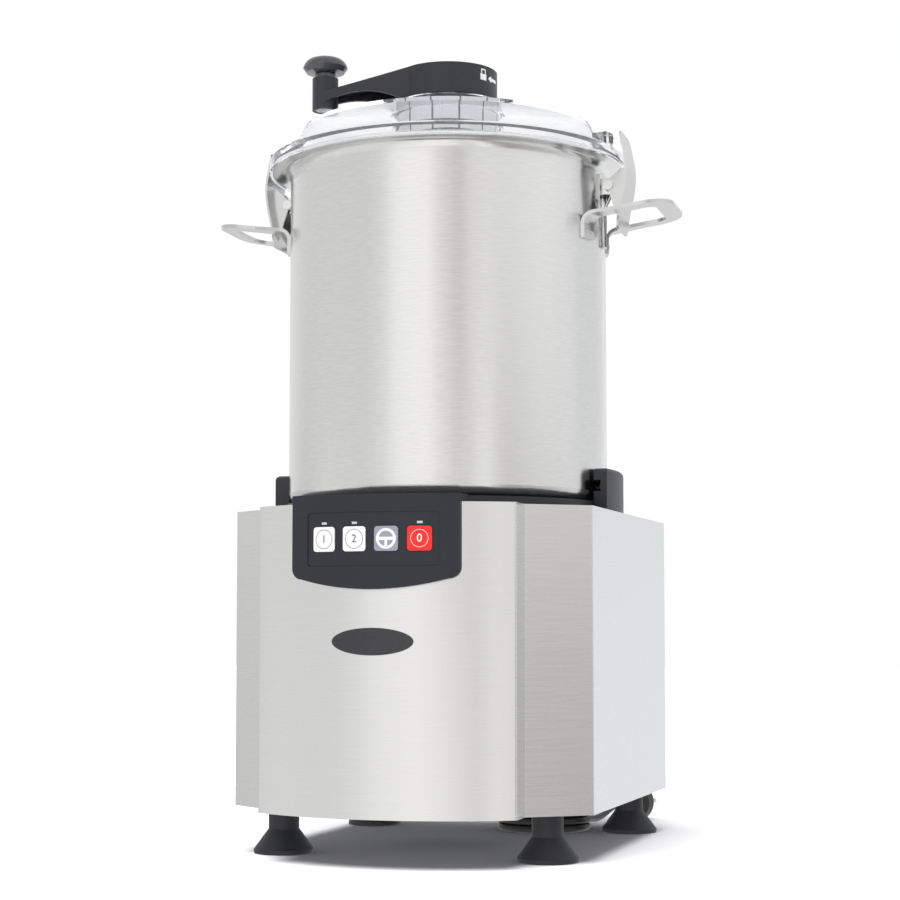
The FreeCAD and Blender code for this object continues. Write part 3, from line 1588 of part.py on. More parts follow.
# Mains lead
coil = ring(coil_radius, coil_radius - coil_columns * 2 * cord_radius, 0,
            coil_layers * 2 * cord_radius, coil_x, coil_y)
save("cord_coil", coil)
save("cord_gland", gland())
for lead_name, points in (("mains_cord", cord_points), ("plug_lead", plug_points)):
    lead, length, radii = cord_tube(points, cord_radius)
    print(lead_name, round(length), "long, volume ratio",
          round(lead.Volume / (length * math.pi * cord_radius ** 2), 4),
          "radii", [round(r) for r in radii])
    save(lead_name, lead.cut(coil))
plug_body, *plug_pins = plug()
save("plug_body", plug_body)
save("plug_pins", *plug_pins)
print("bowl axis at y", bowl_y)
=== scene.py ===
"""Looks of an upright food cutter mixer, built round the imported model."""

import math

import bpy
from mathutils import Matrix, Vector


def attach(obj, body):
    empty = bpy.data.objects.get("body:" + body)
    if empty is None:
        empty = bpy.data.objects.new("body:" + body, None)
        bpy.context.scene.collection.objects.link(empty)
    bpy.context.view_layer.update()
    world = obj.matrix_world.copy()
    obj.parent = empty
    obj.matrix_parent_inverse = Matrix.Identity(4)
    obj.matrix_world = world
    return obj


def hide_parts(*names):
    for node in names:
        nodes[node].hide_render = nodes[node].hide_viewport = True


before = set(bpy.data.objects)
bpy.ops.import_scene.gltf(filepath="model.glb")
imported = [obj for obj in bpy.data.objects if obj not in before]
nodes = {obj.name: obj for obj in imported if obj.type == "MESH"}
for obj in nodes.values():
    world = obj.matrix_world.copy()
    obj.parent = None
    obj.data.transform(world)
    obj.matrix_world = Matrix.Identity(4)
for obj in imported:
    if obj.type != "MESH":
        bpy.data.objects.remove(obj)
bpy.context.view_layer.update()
bpy.ops.object.select_all(action="DESELECT")

# The view
# A long lens low in front of the machine's right corner, looking a little up.
# The horizon lies two thirds down the picture, so the lens is shifted.
camera_data = bpy.data.cameras.new("view")
camera_data.lens = 79.93
camera_data.sensor_width = 36.0
camera_data.shift_y = 0.040
camera_data.clip_end = 60.0
camera = bpy.data.objects.new("view", camera_data)
camera.location = (0.5320, -1.68235, 0.1877)
camera.rotation_euler = (math.radians(94.11), 0, math.radians(17.52))
bpy.context.collection.objects.link(camera)
bpy.context.scene.camera = camera

# Mains lead
# A round black lead of 7 mm from the gland at the back, wound up behind the feet.
# It is moulded PVC, so it bends in wide curves and lies on the floor by its weight.
# The bowl, the motor and the bowed front share one upright axis, which is at axis_y.
axis_y = -0.00285
lead_radius = 0.0035
gland_tip = Vector((0.070, 0.2402 + axis_y, 0.066))
hanging_run = (
    (0, 0, 0), (0, 0.020, 0), (-0.004, 0.043, -0.009), (-0.015, 0.063, -0.022),
    (-0.033, 0.076, -0.036), (-0.053, 0.078, -0.050), (-0.075, 0.066, -0.0585),
    (-0.085, 0.043, -0.0618), (-0.086, 0.017, -0.0625), (-0.080, -0.011, -0.0625),
    (-0.072, -0.039, -0.0625),
)
plug_run = (
    (0.0417, 0.010, 0.0104), (0.0425, 0.026, 0.0088), (0.0445, 0.044, 0.0095),
    (0.048, 0.059, 0.0140), (0.0515, 0.073, 0.0180), (0.055, 0.087, 0.0180),
)
# The coil's turns lie in slots: a column, counted inwards, and a height in lead radii.
coil_middle = Vector((0.044, 0.160 + axis_y, 0))
coil_outer = 0.0415
coil_slots = [(0, 1), (1, 1), (1, 3), (1, 5), (0, 5), (0, 3)]
coil_turns = 5.5
points_per_turn = 14
crossing = 0.2
route = [gland_tip + Vector(step) for step in hanging_run]
for step in range(int(coil_turns * points_per_turn) + 1):
    turn = step / points_per_turn
    here = min(int(turn), len(coil_slots) - 1)
    after = min(here + 1, len(coil_slots) - 1)
    change = max(0.0, (turn - here - (1 - crossing)) / crossing)
    change = change * change * (3 - 2 * change)
    column = coil_slots[here][0] * (1 - change) + coil_slots[after][0] * change
    layer = coil_slots[here][1] * (1 - change) + coil_slots[after][1] * change
    radius = coil_outer - column * 2 * lead_radius
    angle = math.pi + turn * 2 * math.pi
    route.append(coil_middle + Vector((
        radius * math.cos(angle), radius * math.sin(angle), layer * lead_radius)))
route += [coil_middle + Vector(step) for step in plug_run]
line = bpy.data.curves.new("lead_line", "CURVE")
line.dimensions = "3D"
spline = line.splines.new("NURBS")
spline.points.add(len(route) - 1)
for point, place in zip(spline.points, route):
    point.co = (*place, 1.0)
spline.order_u = 3
spline.use_endpoint_u = True
spline.resolution_u = 6
line.bevel_depth = lead_radius
line.bevel_resolution = 5
line.use_fill_caps = True
lead = bpy.data.objects.new("mains_lead", line)
bpy.context.collection.objects.link(lead)


def surface(name, colour, metallic=0.0, roughness=0.5):
    """A material with one shader."""
    made = bpy.data.materials.new(name)
    made.use_nodes = True
    shader = made.node_tree.nodes["Principled BSDF"]
    shader.inputs["Base Color"].default_value = (*colour, 1)
    shader.inputs["Metallic"].default_value = metallic
    shader.inputs["Roughness"].default_value = roughness
    return made


def grain(made, size, stretch=(1, 1, 1), bump=0.1, tone=0.05, rough=0.08, detail=5):
    """Noise, stretched or even, that stirs a surface's tone, gloss and height."""
    tree = made.node_tree
    shader = tree.nodes["Principled BSDF"]
    place = tree.nodes.new("ShaderNodeTexCoord")
    fit = tree.nodes.new("ShaderNodeMapping")
    fit.inputs["Scale"].default_value = stretch
    noise = tree.nodes.new("ShaderNodeTexNoise")
    noise.inputs["Scale"].default_value = size
    noise.inputs["Detail"].default_value = detail
    tree.links.new(place.outputs["Object"], fit.inputs["Vector"])
    tree.links.new(fit.outputs["Vector"], noise.inputs["Vector"])
    colour = Vector(shader.inputs["Base Color"].default_value[:3])
    tones = tree.nodes.new("ShaderNodeValToRGB")
    tones.color_ramp.elements[0].position = 0.3
    tones.color_ramp.elements[1].position = 0.7
    tones.color_ramp.elements[0].color = (*(colour * (1 - tone)), 1)
    tones.color_ramp.elements[1].color = (*[min(1, c * (1 + tone)) for c in colour], 1)
    tree.links.new(noise.outputs["Fac"], tones.inputs["Fac"])
    tree.links.new(tones.outputs["Color"], shader.inputs["Base Color"])
    gloss = tree.nodes.new("ShaderNodeMapRange")
    middle = shader.inputs["Roughness"].default_value
    gloss.inputs["To Min"].default_value = max(0.02, middle - rough)
    gloss.inputs["To Max"].default_value = middle + rough
    tree.links.new(noise.outputs["Fac"], gloss.inputs["Value"])
    tree.links.new(gloss.outputs["Result"], shader.inputs["Roughness"])
    relief = tree.nodes.new("ShaderNodeBump")
    relief.inputs["Strength"].default_value = bump
    relief.inputs["Distance"].default_value = 0.0004
    tree.links.new(noise.outputs["Fac"], relief.inputs["Height"])
    tree.links.new(relief.outputs["Normal"], shader.inputs["Normal"])
    return made


def dress(names, made):
    """Give carried-over nodes a material."""
    for name in names:
        mesh = nodes[name].data
        mesh.materials.clear()
        mesh.materials.append(made)


lead_skin = grain(surface("lead_skin", (0.018, 0.018, 0.020), roughness=0.42),
                  900, bump=0.05, tone=0.1, rough=0.05)
line.materials.append(lead_skin)
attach(lead, "base")
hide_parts("mains_cord", "cord_coil", "plug_lead")
dress(["plug_body", "cord_gland"], lead_skin)
plug_metal = grain(surface("plug_metal", (0.78, 0.74, 0.62), metallic=1, roughness=0.25),
                   400, bump=0.02, tone=0.03)
dress(["plug_pins"], plug_metal)

# Feet
# Four conical feet of moulded black rubber, each held by a zinc plated screw up
# through its middle. The bottom plate and the inner brackets are plated alike.
foot_rubber = grain(surface("foot_rubber", (0.014, 0.015, 0.018), roughness=0.50),
                    700, bump=0.12, tone=0.15)
zinc = grain(surface("zinc_plate", (0.60, 0.61, 0.62), metallic=1, roughness=0.38),
             220, bump=0.05, tone=0.06)
dress(["rubber_feet", "shaft_seal"], foot_rubber)
dress(["foot_screws", "machine_screws", "chassis_pillars", "motor_plate",
       "bottom_plate", "bearings"], zinc)


# Casing
# One folded sheet of brushed stainless steel round the front and sides, and a flat
# back plate with pressed louvres. The grain runs level round the machine.
def brushed(made, stretch=0.6):
    """Level brushing round the machine's axis draws reflections out upright."""
    tree = made.node_tree
    shader = tree.nodes["Principled BSDF"]
    way_round = tree.nodes.new("ShaderNodeTangent")
    way_round.direction_type = "RADIAL"
    way_round.axis = "Z"
    tree.links.new(way_round.outputs["Tangent"], shader.inputs["Tangent"])
    shader.inputs["Anisotropic"].default_value = stretch
    shader.inputs["Anisotropic Rotation"].default_value = 0.25


cover_steel = grain(surface("cover_steel", (0.80, 0.80, 0.79), metallic=1, roughness=0.28),
                    26, (1, 1, 40), bump=0.004, tone=0.02, rough=0.04, detail=2)
brushed(cover_steel, 0.4)
dress(["wrap_cover", "rear_panel"], cover_steel)

# Deck and lock posts
# Black moulded top with the bowl's seat and shaft collar. Two hooked posts stand on
# it and hold the bowl's pins.
charcoal = grain(surface("charcoal", (0.023, 0.025, 0.031), roughness=0.42),
                 1100, bump=0.10, tone=0.12, rough=0.06)
dress(["top_deck", "lock_posts", "interlock_switch"], charcoal)

# Motor
# A finned aluminium motor hangs from a steel plate under the deck. Its stator and
# rotor are stacks of thin steel sheets, and its fan is moulded.
cast = grain(surface("cast_aluminium", (0.55, 0.56, 0.57), metallic=1, roughness=0.5),
             300, bump=0.25, tone=0.06)
core_steel = grain(surface("core_steel", (0.22, 0.18, 0.15), metallic=0.6, roughness=0.5),
                   60, (1, 1, 40), bump=0.2, tone=0.1)
dress(["motor_housing", "upper_end_bell", "lower_end_bell", "run_capacitor"], cast)
dress(["stator_pack", "rotor"], core_steel)
dress(["motor_fan"], charcoal)

# Cutter
# Two sickle blades of ground steel on a sleeve that the motor's shaft turns, held
# down by a hub nut. Pins and screws of the bowl and lid are ground alike.
ground_steel = grain(
    surface("ground_steel", (0.76, 0.76, 0.76), metallic=1, roughness=0.22),
    500, bump=0.04, tone=0.03)
dress(["motor_shaft", "cutter_hub", "lower_blade", "upper_blade", "blade_spacers",
       "hub_nut", "lock_pins", "clip_pins", "clip_springs", "scraper_shaft",
       "knob_axle", "boss_screws"], ground_steel)

# Control panel
# A moulded charcoal panel hooks over the casing's top edge. Its sunk field holds four
# square keys, with a small lens over three of them. A blank oval badge is fixed below.
panel_plastic = grain(surface("panel_plastic", (0.021, 0.024, 0.031), roughness=0.38),
                      1300, bump=0.08, tone=0.10, rough=0.05)
panel_shader = panel_plastic.node_tree.nodes["Principled BSDF"]
panel_shader.inputs["Specular IOR Level"].default_value = 0.3
dress(["panel_bezel", "panel_field"], panel_plastic)
badge_enamel = grain(surface("badge_enamel", (0.026, 0.027, 0.030), roughness=0.22),
                     300, bump=0.02, tone=0.08)
dress(["badge_plate"], badge_enamel)
key_colours = {
    "speed_one_button": (0.84, 0.84, 0.86), "speed_two_button": (0.84, 0.84, 0.86),
    "pulse_button": (0.30, 0.30, 0.37), "stop_button": (0.80, 0.012, 0.010),
}
for key_name, colour in key_colours.items():
    key_plastic = grain(surface(key_name + "_plastic", colour, roughness=0.35),
                        900, bump=0.05, tone=0.03)
    dress([key_name], key_plastic)
lens = grain(surface("lens", (0.55, 0.57, 0.58), roughness=0.2), 500, bump=0.02)
dress(["indicator_lenses"], lens)
board = grain(surface("board", (0.03, 0.16, 0.07), roughness=0.45), 200, bump=0.05)
dress(["control_board"], board)


# Key marks
# The keys carry printed rings: one round a plain numeral on the speed and stop keys,
# and a broad one with a bar and a stem on the pulse key. The ink is laid on the key's
# curved face as a thin skin.
def ring(outer, inner):
    """A flat ring in its own XY plane: a circle's edge drawn inwards."""
    bpy.ops.object.select_all(action="DESELECT")
    bpy.ops.mesh.primitive_circle_add(vertices=64, radius=outer)
    bpy.ops.object.mode_set(mode="EDIT")
    bpy.ops.mesh.select_all(action="SELECT")
    bpy.ops.mesh.extrude_edges_move()
    bpy.ops.transform.resize(value=(inner / outer, inner / outer, 1),
                             center_override=(0, 0, 0))
    bpy.ops.object.mode_set(mode="OBJECT")
    return bpy.context.object


def bar(width, height, x, y):
    """A flat bar in its own XY plane, cut fine enough to lie on a curved face."""
    bpy.ops.object.select_all(action="DESELECT")
    bpy.ops.mesh.primitive_grid_add(x_subdivisions=8, y_subdivisions=8, size=1)
    made = bpy.context.object
    made.scale = (width, height, 1)
    made.location = (x, y, 0)
    bpy.ops.object.transform_apply(location=True, rotation=True, scale=True)
    return made


def numeral(digit, height):
    """A plain numeral in its own XY plane, as a mesh."""
    bpy.ops.object.select_all(action="DESELECT")
    bpy.ops.object.text_add()
    made = bpy.context.object
    made.data.body = digit
    made.data.align_x = "CENTER"
    made.data.align_y = "CENTER"
    made.data.size = height / 0.7
    bpy.ops.object.convert(target="MESH")
    return bpy.context.object


def printed(name, shapes, bearing, height, radius, target, paint, body):
    """Joins flat shapes, lays them on a node's face and gives them the ink's thickness."""
    bpy.ops.object.select_all(action="DESELECT")
    for shape in shapes:
        shape.select_set(True)
    made = shapes[0]
    bpy.context.view_layer.objects.active = made
    bpy.ops.object.join()
    made.name = name
    in_front = radius + 0.004
    made.matrix_world = (
        Matrix.Translation((0, axis_y, 0)) @ Matrix.Rotation(bearing, 4, "Z")
        @ Matrix.Translation((0, -in_front, height)) @ Matrix.Rotation(math.pi / 2, 4, "X"))
    lay = made.modifiers.new("lay", "SHRINKWRAP")
    lay.target = nodes[target]
    lay.wrap_method = "PROJECT"
    lay.use_project_z = True
    lay.use_negative_direction = True
    lay.use_positive_direction = False
    lay.offset = 0.00005
    bpy.ops.object.modifier_apply(modifier="lay")
    ink = made.modifiers.new("ink", "SOLIDIFY")
    ink.thickness = 0.00004
    bpy.ops.object.modifier_apply(modifier="ink")
    bpy.ops.object.transform_apply(location=True, rotation=True, scale=True)
    made.data.materials.clear()
    made.data.materials.append(paint)
    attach(made, body)


def key_mark(key, place, shapes, paint):
    """Prints shapes on a key, whose place counts key pitches from the panel's middle."""
    key_pitch = 0.0266
    key_height = 0.2590
    key_face = 0.2039
    printed(key + "_mark", shapes, math.asin(place * key_pitch / key_face), key_height,
            key_face, key + "_button", paint, key + "_key")


dark_ink = grain(surface("dark_ink", (0.060, 0.062, 0.072), roughness=0.5), 900)
white_ink = grain(surface("white_ink", (0.90, 0.90, 0.90), roughness=0.5), 900)
numeral_height = 0.0062
key_mark("speed_one", -1.5, [ring(0.0077, 0.0073), numeral("1", numeral_height)],
         dark_ink)
key_mark("speed_two", -0.5, [ring(0.0077, 0.0073), numeral("2", numeral_height)],
         dark_ink)
key_mark("pulse", 0.5, [ring(0.0081, 0.0060), bar(0.0130, 0.0025, 0, 0),
                        bar(0.0021, 0.0060, 0, -0.0040)], white_ink)
key_mark("stop", 1.5, [ring(0.0070, 0.0067), numeral("0", numeral_height)],
         white_ink)

# Bowl
# Deep-drawn stainless bowl with a flared rim, spun and brushed round its wall. Its
# handles, clip levers and polished clip brackets are pressed from thicker sheet.
bowl_steel = grain(surface("bowl_steel", (0.80, 0.80, 0.79), metallic=1, roughness=0.23),
                   40, (2.5, 2.5, 24), bump=0.055, tone=0.04, rough=0.05, detail=6)
brushed(bowl_steel)
dress(["bowl", "scraper"], bowl_steel)
clip_steel = grain(surface("clip_steel", (0.66, 0.66, 0.655), metallic=1, roughness=0.24),
                   160, bump=0.03, tone=0.02, rough=0.05)
dress(["handles", "clip_lever_right", "clip_lever_left"], clip_steel)
bright_steel = grain(
    surface("bright_steel", (0.72, 0.72, 0.71), metallic=1, roughness=0.14),
    160, bump=0.04, tone=0.02, rough=0.04)
dress(["clip_brackets"], bright_steel)

# Handle welds
# Each end of a handle's tab is held to the bowl by two small domed spots of weld.
# One is modelled and copied to all eight places.
bpy.ops.object.select_all(action="DESELECT")
bpy.ops.mesh.primitive_cylinder_add(vertices=24, radius=0.0018, depth=0.0014)
weld = bpy.context.object
dome = weld.modifiers.new("dome", "BEVEL")
dome.width = 0.0006
dome.segments = 3
bpy.ops.object.modifier_apply(modifier="dome")
bpy.ops.object.shade_smooth()
weld.data.materials.append(clip_steel)


def settle(piece):
    """Puts a piece's place and turn into its mesh."""
    bpy.ops.object.select_all(action="DESELECT")
    piece.select_set(True)
    bpy.context.view_layer.objects.active = piece
    bpy.ops.object.transform_apply(location=True, rotation=True, scale=True)


tab_radius = 0.1430
weld_height = 0.5266
side_angle = math.radians(1.5)
weld_number = 0
for side in (0.0, math.pi):
    for across in (-0.0445, -0.0355, 0.0355, 0.0445):
        weld_number += 1
        spot = weld.copy()
        spot.data = weld.data.copy()
        spot.name = f"handle_weld_{weld_number}"
        bpy.context.collection.objects.link(spot)
        bearing = side + side_angle + math.asin(across / tab_radius)
        spot.matrix_world = (
            Matrix.Translation((0, axis_y, 0)) @ Matrix.Rotation(bearing, 4, "Z")
            @ Matrix.Translation((tab_radius, 0, weld_height))
            @ Matrix.Rotation(math.pi / 2, 4, "Y"))
        settle(spot)
        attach(spot, "bowl_unit")
bpy.data.objects.remove(weld)

# Clip springs
# A spring of 2.6 mm stainless wire is wound round each clip's pin. Its two legs run
# down the bowl's wall and join in a short bar behind the clip's plate.
wire_radius = 0.0013
winding_turns = 3.5
winding_steps = 84
winding_radius = 0.00405
pin_out = 0.148
pin_height = 0.572
leg_side = 0.0047
leg_out = 0.1418
leg_foot = 0.5200
leg_bend = 0.5500
spring_route = [(leg_out, -leg_side, leg_foot), (leg_out, -leg_side, leg_bend),
                (pin_out + winding_radius, -leg_side, pin_height - 0.0015)]
for step in range(winding_steps + 1):
    angle = step / winding_steps * winding_turns * 2 * math.pi
    spring_route.append((pin_out + winding_radius * math.cos(angle),
                         leg_side * (2 * step / winding_steps - 1),
                         pin_height + winding_radius * math.sin(angle)))
spring_route += [(leg_out, leg_side, leg_bend), (leg_out, leg_side, leg_foot)]
spring_line = bpy.data.curves.new("spring_line", "CURVE")
spring_line.dimensions = "3D"
spring_spline = spring_line.splines.new("POLY")
spring_spline.points.add(len(spring_route) - 1)
for point, place in zip(spring_spline.points, spring_route):
    point.co = (*place, 1.0)
spring_spline.use_cyclic_u = True
spring_line.bevel_depth = wire_radius
spring_line.bevel_resolution = 3
right_spring = bpy.data.objects.new("clip_spring_right", spring_line)
bpy.context.collection.objects.link(right_spring)
bpy.ops.object.select_all(action="DESELECT")
right_spring.select_set(True)
bpy.context.view_layer.objects.active = right_spring
bpy.ops.object.convert(target="MESH")
bpy.ops.object.shade_smooth()
right_spring.data.materials.append(ground_steel)
left_spring = right_spring.copy()
left_spring.data = right_spring.data.copy()
left_spring.name = "clip_spring_left"
bpy.context.collection.objects.link(left_spring)
for spring, side in ((right_spring, 0.0), (left_spring, math.pi)):
    spring.matrix_world = (Matrix.Translation((0, axis_y, 0))
                           @ Matrix.Rotation(side + side_angle, 4, "Z"))
    settle(spring)
    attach(spring, "bowl_unit")
    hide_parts("clip_springs")


# Lid
# Clear moulded polycarbonate lid on a pale silicone gasket, held down by the clips.
# A frosted grey boss with twelve ribs is screwed under it and carries the crank's
# shaft; the shade at its ribs is painted on as dark lines. Shadow and diffuse rays pass
# straight through, so the bowl below stays light.
def maths(tree, operation, first, second=0.0):
    """A maths node between two outputs or numbers."""
    made = tree.nodes.new("ShaderNodeMath")
    made.operation = operation
    for socket, value in zip(made.inputs, (first, second)):
        if isinstance(value, (int, float)):
            socket.default_value = value
        else:
            tree.links.new(value, socket)
    return made.outputs["Value"]


clear = surface("clear_lid", (0.96, 0.97, 0.98), roughness=0.04)
clear_tree = clear.node_tree
clear_shader = clear_tree.nodes["Principled BSDF"]
clear_shader.inputs["Transmission Weight"].default_value = 0.93
clear_shader.inputs["IOR"].default_value = 1.16
grain(clear, 60, bump=0.02, tone=0.01, rough=0.02)
clear_path = clear_tree.nodes.new("ShaderNodeLightPath")
clear_gate = maths(clear_tree, "MAXIMUM", clear_path.outputs["Is Shadow Ray"],
                   clear_path.outputs["Is Diffuse Ray"])
clear_pass = clear_tree.nodes.new("ShaderNodeBsdfTransparent")
clear_pass.inputs["Color"].default_value = (0.96, 0.97, 0.98, 1)
clear_mix = clear_tree.nodes.new("ShaderNodeMixShader")
clear_tree.links.new(clear_gate, clear_mix.inputs["Fac"])
clear_tree.links.new(clear_shader.outputs["BSDF"], clear_mix.inputs[1])
clear_tree.links.new(clear_pass.outputs["BSDF"], clear_mix.inputs[2])
clear_tree.links.new(clear_mix.outputs["Shader"],
                     clear_tree.nodes["Material Output"].inputs["Surface"])
dress(["lid"], clear)
silicone = grain(surface("silicone", (0.93, 0.93, 0.94), roughness=0.4), 500)
dress(["lid_gasket"], silicone)

frosted = surface("frosted_boss", (0.90, 0.91, 0.94), roughness=0.30)
boss_tree = frosted.node_tree
boss_shader = boss_tree.nodes["Principled BSDF"]
boss_shader.inputs["Transmission Weight"].default_value = 0.15
grain(frosted, 200, bump=0.05, tone=0.02)
# Painted shade: twelve dark lines are mixed into the boss's colour by bearing, one at each
# rib.
boss_ribs = 12
boss_place = boss_tree.nodes.new("ShaderNodeTexCoord")
boss_way = boss_tree.nodes.new("ShaderNodeSeparateXYZ")
boss_tree.links.new(boss_place.outputs["Object"], boss_way.inputs["Vector"])
boss_bearing = maths(boss_tree, "ARCTAN2",
                     maths(boss_tree, "SUBTRACT", boss_way.outputs["Y"], axis_y),
                     boss_way.outputs["X"])
boss_wave = maths(boss_tree, "ABSOLUTE", maths(
    boss_tree, "SINE", maths(boss_tree, "MULTIPLY", boss_bearing, boss_ribs / 2)))
painted_rib_shade_mask = boss_tree.nodes.new("ShaderNodeMapRange")
painted_rib_shade_mask.inputs["From Min"].default_value = 0.07
painted_rib_shade_mask.inputs["From Max"].default_value = 0.15
painted_rib_shade_mask.inputs["To Min"].default_value = 1.0
painted_rib_shade_mask.inputs["To Max"].default_value = 0.0
boss_tree.links.new(boss_wave, painted_rib_shade_mask.inputs["Value"])
# The dark grey below is the painted shade colour of the rib lines.
boss_colour_with_painted_shade = boss_tree.nodes.new("ShaderNodeMix")
boss_colour_with_painted_shade.data_type = "RGBA"
boss_tree.links.new(painted_rib_shade_mask.outputs["Result"], boss_colour_with_painted_shade.inputs["Factor"])
boss_tree.links.new(boss_shader.inputs["Base Color"].links[0].from_socket,
                    boss_colour_with_painted_shade.inputs["A"])
boss_colour_with_painted_shade.inputs["B"].default_value = (0.10, 0.10, 0.12, 1)
boss_tree.links.new(boss_colour_with_painted_shade.outputs["Result"], boss_shader.inputs["Base Color"])
dress(["lid_boss"], frosted)
dress(["lid_magnet"], charcoal)

# Wipers
# Two upright strips of pale moulded plastic are fixed to the scraper's arms and wipe
# the bowl's wall.
wiper_white = grain(surface("wiper_white", (0.82, 0.83, 0.83), roughness=0.4), 300)
dress(["wall_wipers"], wiper_white)

# Crank
# Moulded charcoal crank, fixed on the upper end of the scraper's shaft, with a glossy
# mushroom knob that turns on its axle.
dress(["crank"], charcoal)
knob_gloss = grain(surface("knob_gloss", (0.050, 0.051, 0.057), roughness=0.18),
                   500, bump=0.03, tone=0.08, rough=0.04)
knob_shader = knob_gloss.node_tree.nodes["Principled BSDF"]
knob_shader.inputs["Coat Weight"].default_value = 0.6
knob_shader.inputs["Coat Roughness"].default_value = 0.12
dress(["knob"], knob_gloss)

# Knob axle bush
# A pale nylon bush fills the mouth of the crank's end boss, under the head of the
# axle's screw, which is seen up through its recess. It is pressed in.
bush_height = 0.6538
crank_reach = 0.110
crank_angle = math.radians(197.5)
bpy.ops.object.select_all(action="DESELECT")
bpy.ops.mesh.primitive_cylinder_add(vertices=48, radius=0.0086, depth=0.0050)
bush = bpy.context.object
bush.name = "axle_bush"
for face in bush.data.polygons:
    face.select = face.normal.z < -0.9
for edge in bush.data.edges:
    edge.select = False
for vertex in bush.data.vertices:
    vertex.select = False
bpy.ops.object.mode_set(mode="EDIT")
bpy.ops.mesh.select_mode(type="FACE")
bpy.ops.mesh.inset(thickness=0.0030)
bpy.ops.mesh.extrude_region_move(TRANSFORM_OT_translate={"value": (0, 0, 0.0022)})
bpy.ops.object.mode_set(mode="OBJECT")
bush_edge = bush.modifiers.new("edge", "BEVEL")
bush_edge.width = 0.0004
bush_edge.segments = 2
bpy.ops.object.modifier_apply(modifier="edge")
bush.location = (crank_reach * math.cos(crank_angle),
                 axis_y + crank_reach * math.sin(crank_angle), bush_height)
settle(bush)
bush.data.materials.append(wiper_white)
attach(bush, "crank_unit")


# Lock sign
# A padlock and an arrow are printed in white on the side of the crank's hub, above
# the place where the crank locks.
def arrowhead(size, x, y):
    """A flat triangle in its own XY plane, cut fine, that points to the left."""
    bpy.ops.object.select_all(action="DESELECT")
    bpy.ops.mesh.primitive_circle_add(vertices=3, radius=size, fill_type="NGON")
    bpy.ops.object.mode_set(mode="EDIT")
    bpy.ops.mesh.select_all(action="SELECT")
    bpy.ops.mesh.subdivide(number_cuts=7)
    bpy.ops.object.mode_set(mode="OBJECT")
    made = bpy.context.object
    made.rotation_euler = (0, 0, math.pi / 2)
    made.location = (x, y, 0)
    bpy.ops.object.transform_apply(location=True, rotation=True, scale=True)
    return made


sign_bearing = math.radians(72.5)
sign_height = 0.6765
hub_radius = 0.0440
lock_shapes = [bar(0.0074, 0.0054, -0.0074, -0.0030), bar(0.0057, 0.0011, -0.0074, 0.0037),
               bar(0.0011, 0.0040, -0.0097, 0.0015), bar(0.0011, 0.0040, -0.0051, 0.0015),
               arrowhead(0.0036, 0.0022, -0.0030), bar(0.0110, 0.0028, 0.0092, -0.0030)]
printed("lock_sign", lock_shapes, sign_bearing, sign_height, hub_radius, "crank",
        white_ink, "crank_unit")

# Floor and light
# A plain white table that fades into the backdrop. A broad soft lamp overhead lights
# the table alone, and the object is lit by the studio's walls.
bpy.ops.mesh.primitive_plane_add(size=16, location=(0, 0, 0))
floor = bpy.context.object
floor.name = "floor"
floor.visible_glossy = False
floor_paint = surface("floor_paint", (0.38, 0.38, 0.39), roughness=0.8)
floor_shader = floor_paint.node_tree.nodes["Principled BSDF"]
floor_shader.inputs["Specular IOR Level"].default_value = 0
floor.data.materials.append(floor_paint)
floor_only = bpy.data.collections.new("floor_only")
floor_only.objects.link(floor)
lamp_data = bpy.data.lights.new("floor_lamp", "SUN")
lamp_data.energy = 11
lamp_data.angle = math.radians(48)
floor_lamp = bpy.data.objects.new("floor_lamp", lamp_data)
floor_lamp.location = (0, 0, 3)
floor_lamp.rotation_euler = (math.radians(20), math.radians(-3), 0)
bpy.context.collection.objects.link(floor_lamp)
floor_lamp.light_linking.receiver_collection = floor_only


# Studio
# White and grey walls round the table, whose tones change with their bearing and draw
# the soft bands on the steel. The camera and the clear lid see a plain white backdrop.
def tint(level, warmth=0.0):
    """A grey of a level, a little warm or, below zero, a little blue."""
    return (level * (1 + warmth), level, level * (1 - warmth))


def air_ramp(stops, position):
    """Tones of the walls by their bearing in degrees: 0 is the front, 90 the right."""
    made = air.nodes.new("ShaderNodeValToRGB")
    ramp = made.color_ramp
    ramp.interpolation = "EASE"
    for bearing, tone in stops[1:-1]:
        ramp.elements.new(bearing / 360 + 0.5)
    for element, (bearing, tone) in zip(ramp.elements, stops):
        element.position = bearing / 360 + 0.5
        element.color = (*tone, 1)
    air.links.new(position, made.inputs["Fac"])
    return made.outputs["Color"]


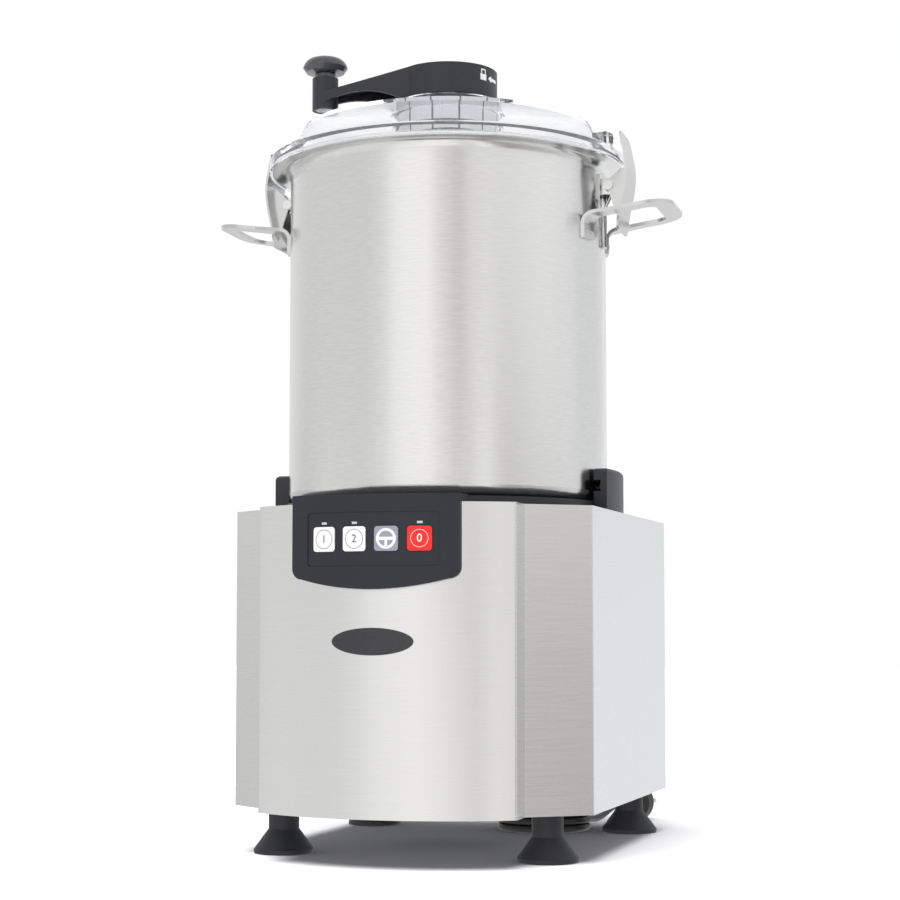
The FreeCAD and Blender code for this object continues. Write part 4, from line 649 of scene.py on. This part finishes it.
world = bpy.data.worlds.new("studio")
bpy.context.scene.world = world
world.use_nodes = True
air = world.node_tree
way = air.nodes.new("ShaderNodeTexCoord")
ways = air.nodes.new("ShaderNodeSeparateXYZ")
air.links.new(way.outputs["Generated"], ways.inputs["Vector"])
bearing_out = maths(air, "ARCTAN2", ways.outputs["X"],
                    maths(air, "MULTIPLY", ways.outputs["Y"], -1.0))
around = maths(air, "ADD", maths(air, "DIVIDE", bearing_out, 2 * math.pi), 0.5)
high_walls = air_ramp([
    (-180, tint(0.74)), (-130, tint(0.68)), (-104, tint(0.625)), (-60, tint(0.625, -0.003)),
    (-42, tint(0.62)), (-31, tint(0.69, 0.002)), (-19, tint(0.88, 0.004)),
    (-8, tint(0.91, 0.006)), (3, tint(0.89, 0.008)), (13, tint(0.68, 0.014)),
    (25, tint(0.54, 0.012)), (33, tint(0.70, 0.008)), (47, tint(0.74, 0.006)),
    (70, tint(0.79, 0.002)), (90, tint(0.81)), (110, tint(0.76, -0.004)),
    (130, tint(0.66, -0.014)), (150, tint(0.65, -0.018)), (180, tint(0.74)),
], around)
low_walls = air_ramp([
    (-180, tint(0.74)), (-108, tint(0.49)), (-80, tint(0.71)), (-42, tint(0.70, 0.003)),
    (-28, tint(0.72, 0.005)), (-17, tint(0.84, 0.007)), (-7, tint(0.86, 0.008)),
    (3, tint(0.92, 0.009)), (12.5, tint(0.90, 0.009)), (23.5, tint(0.82, 0.008)),
    (32, tint(0.62, 0.008)), (40, tint(0.88, 0.006)), (48, tint(0.84, 0.01)),
    (53, tint(0.46, 0.02)), (62, tint(0.32, 0.03)), (82, tint(0.44, 0.02)),
    (125, tint(0.64, -0.01)), (168, tint(0.775, -0.034)), (180, tint(0.76, -0.03)),
], around)
height = air.nodes.new("ShaderNodeMapRange")
height.interpolation_type = "SMOOTHSTEP"
height.inputs["From Min"].default_value = 0.02
height.inputs["From Max"].default_value = 0.075
air.links.new(ways.outputs["Z"], height.inputs["Value"])
walls = air.nodes.new("ShaderNodeMix")
walls.data_type = "RGBA"
air.links.new(height.outputs["Result"], walls.inputs["Factor"])
air.links.new(low_walls, walls.inputs["A"])
air.links.new(high_walls, walls.inputs["B"])
glow = air.nodes["Background"]
glow.inputs["Strength"].default_value = 1.2
air.links.new(walls.outputs["Result"], glow.inputs["Color"])
backdrop = air.nodes.new("ShaderNodeBackground")
backdrop.inputs["Color"].default_value = (1, 1, 1, 1)
seen = air.nodes.new("ShaderNodeLightPath")
shown = maths(air, "MAXIMUM", seen.outputs["Is Camera Ray"],
              seen.outputs["Is Transmission Ray"])
choice = air.nodes.new("ShaderNodeMixShader")
air.links.new(shown, choice.inputs["Fac"])
air.links.new(glow.outputs["Background"], choice.inputs[1])
air.links.new(backdrop.outputs["Background"], choice.inputs[2])
air.links.new(choice.outputs["Shader"], air.nodes["World Output"].inputs["Surface"])

bpy.context.scene.view_settings.view_transform = "Standard"
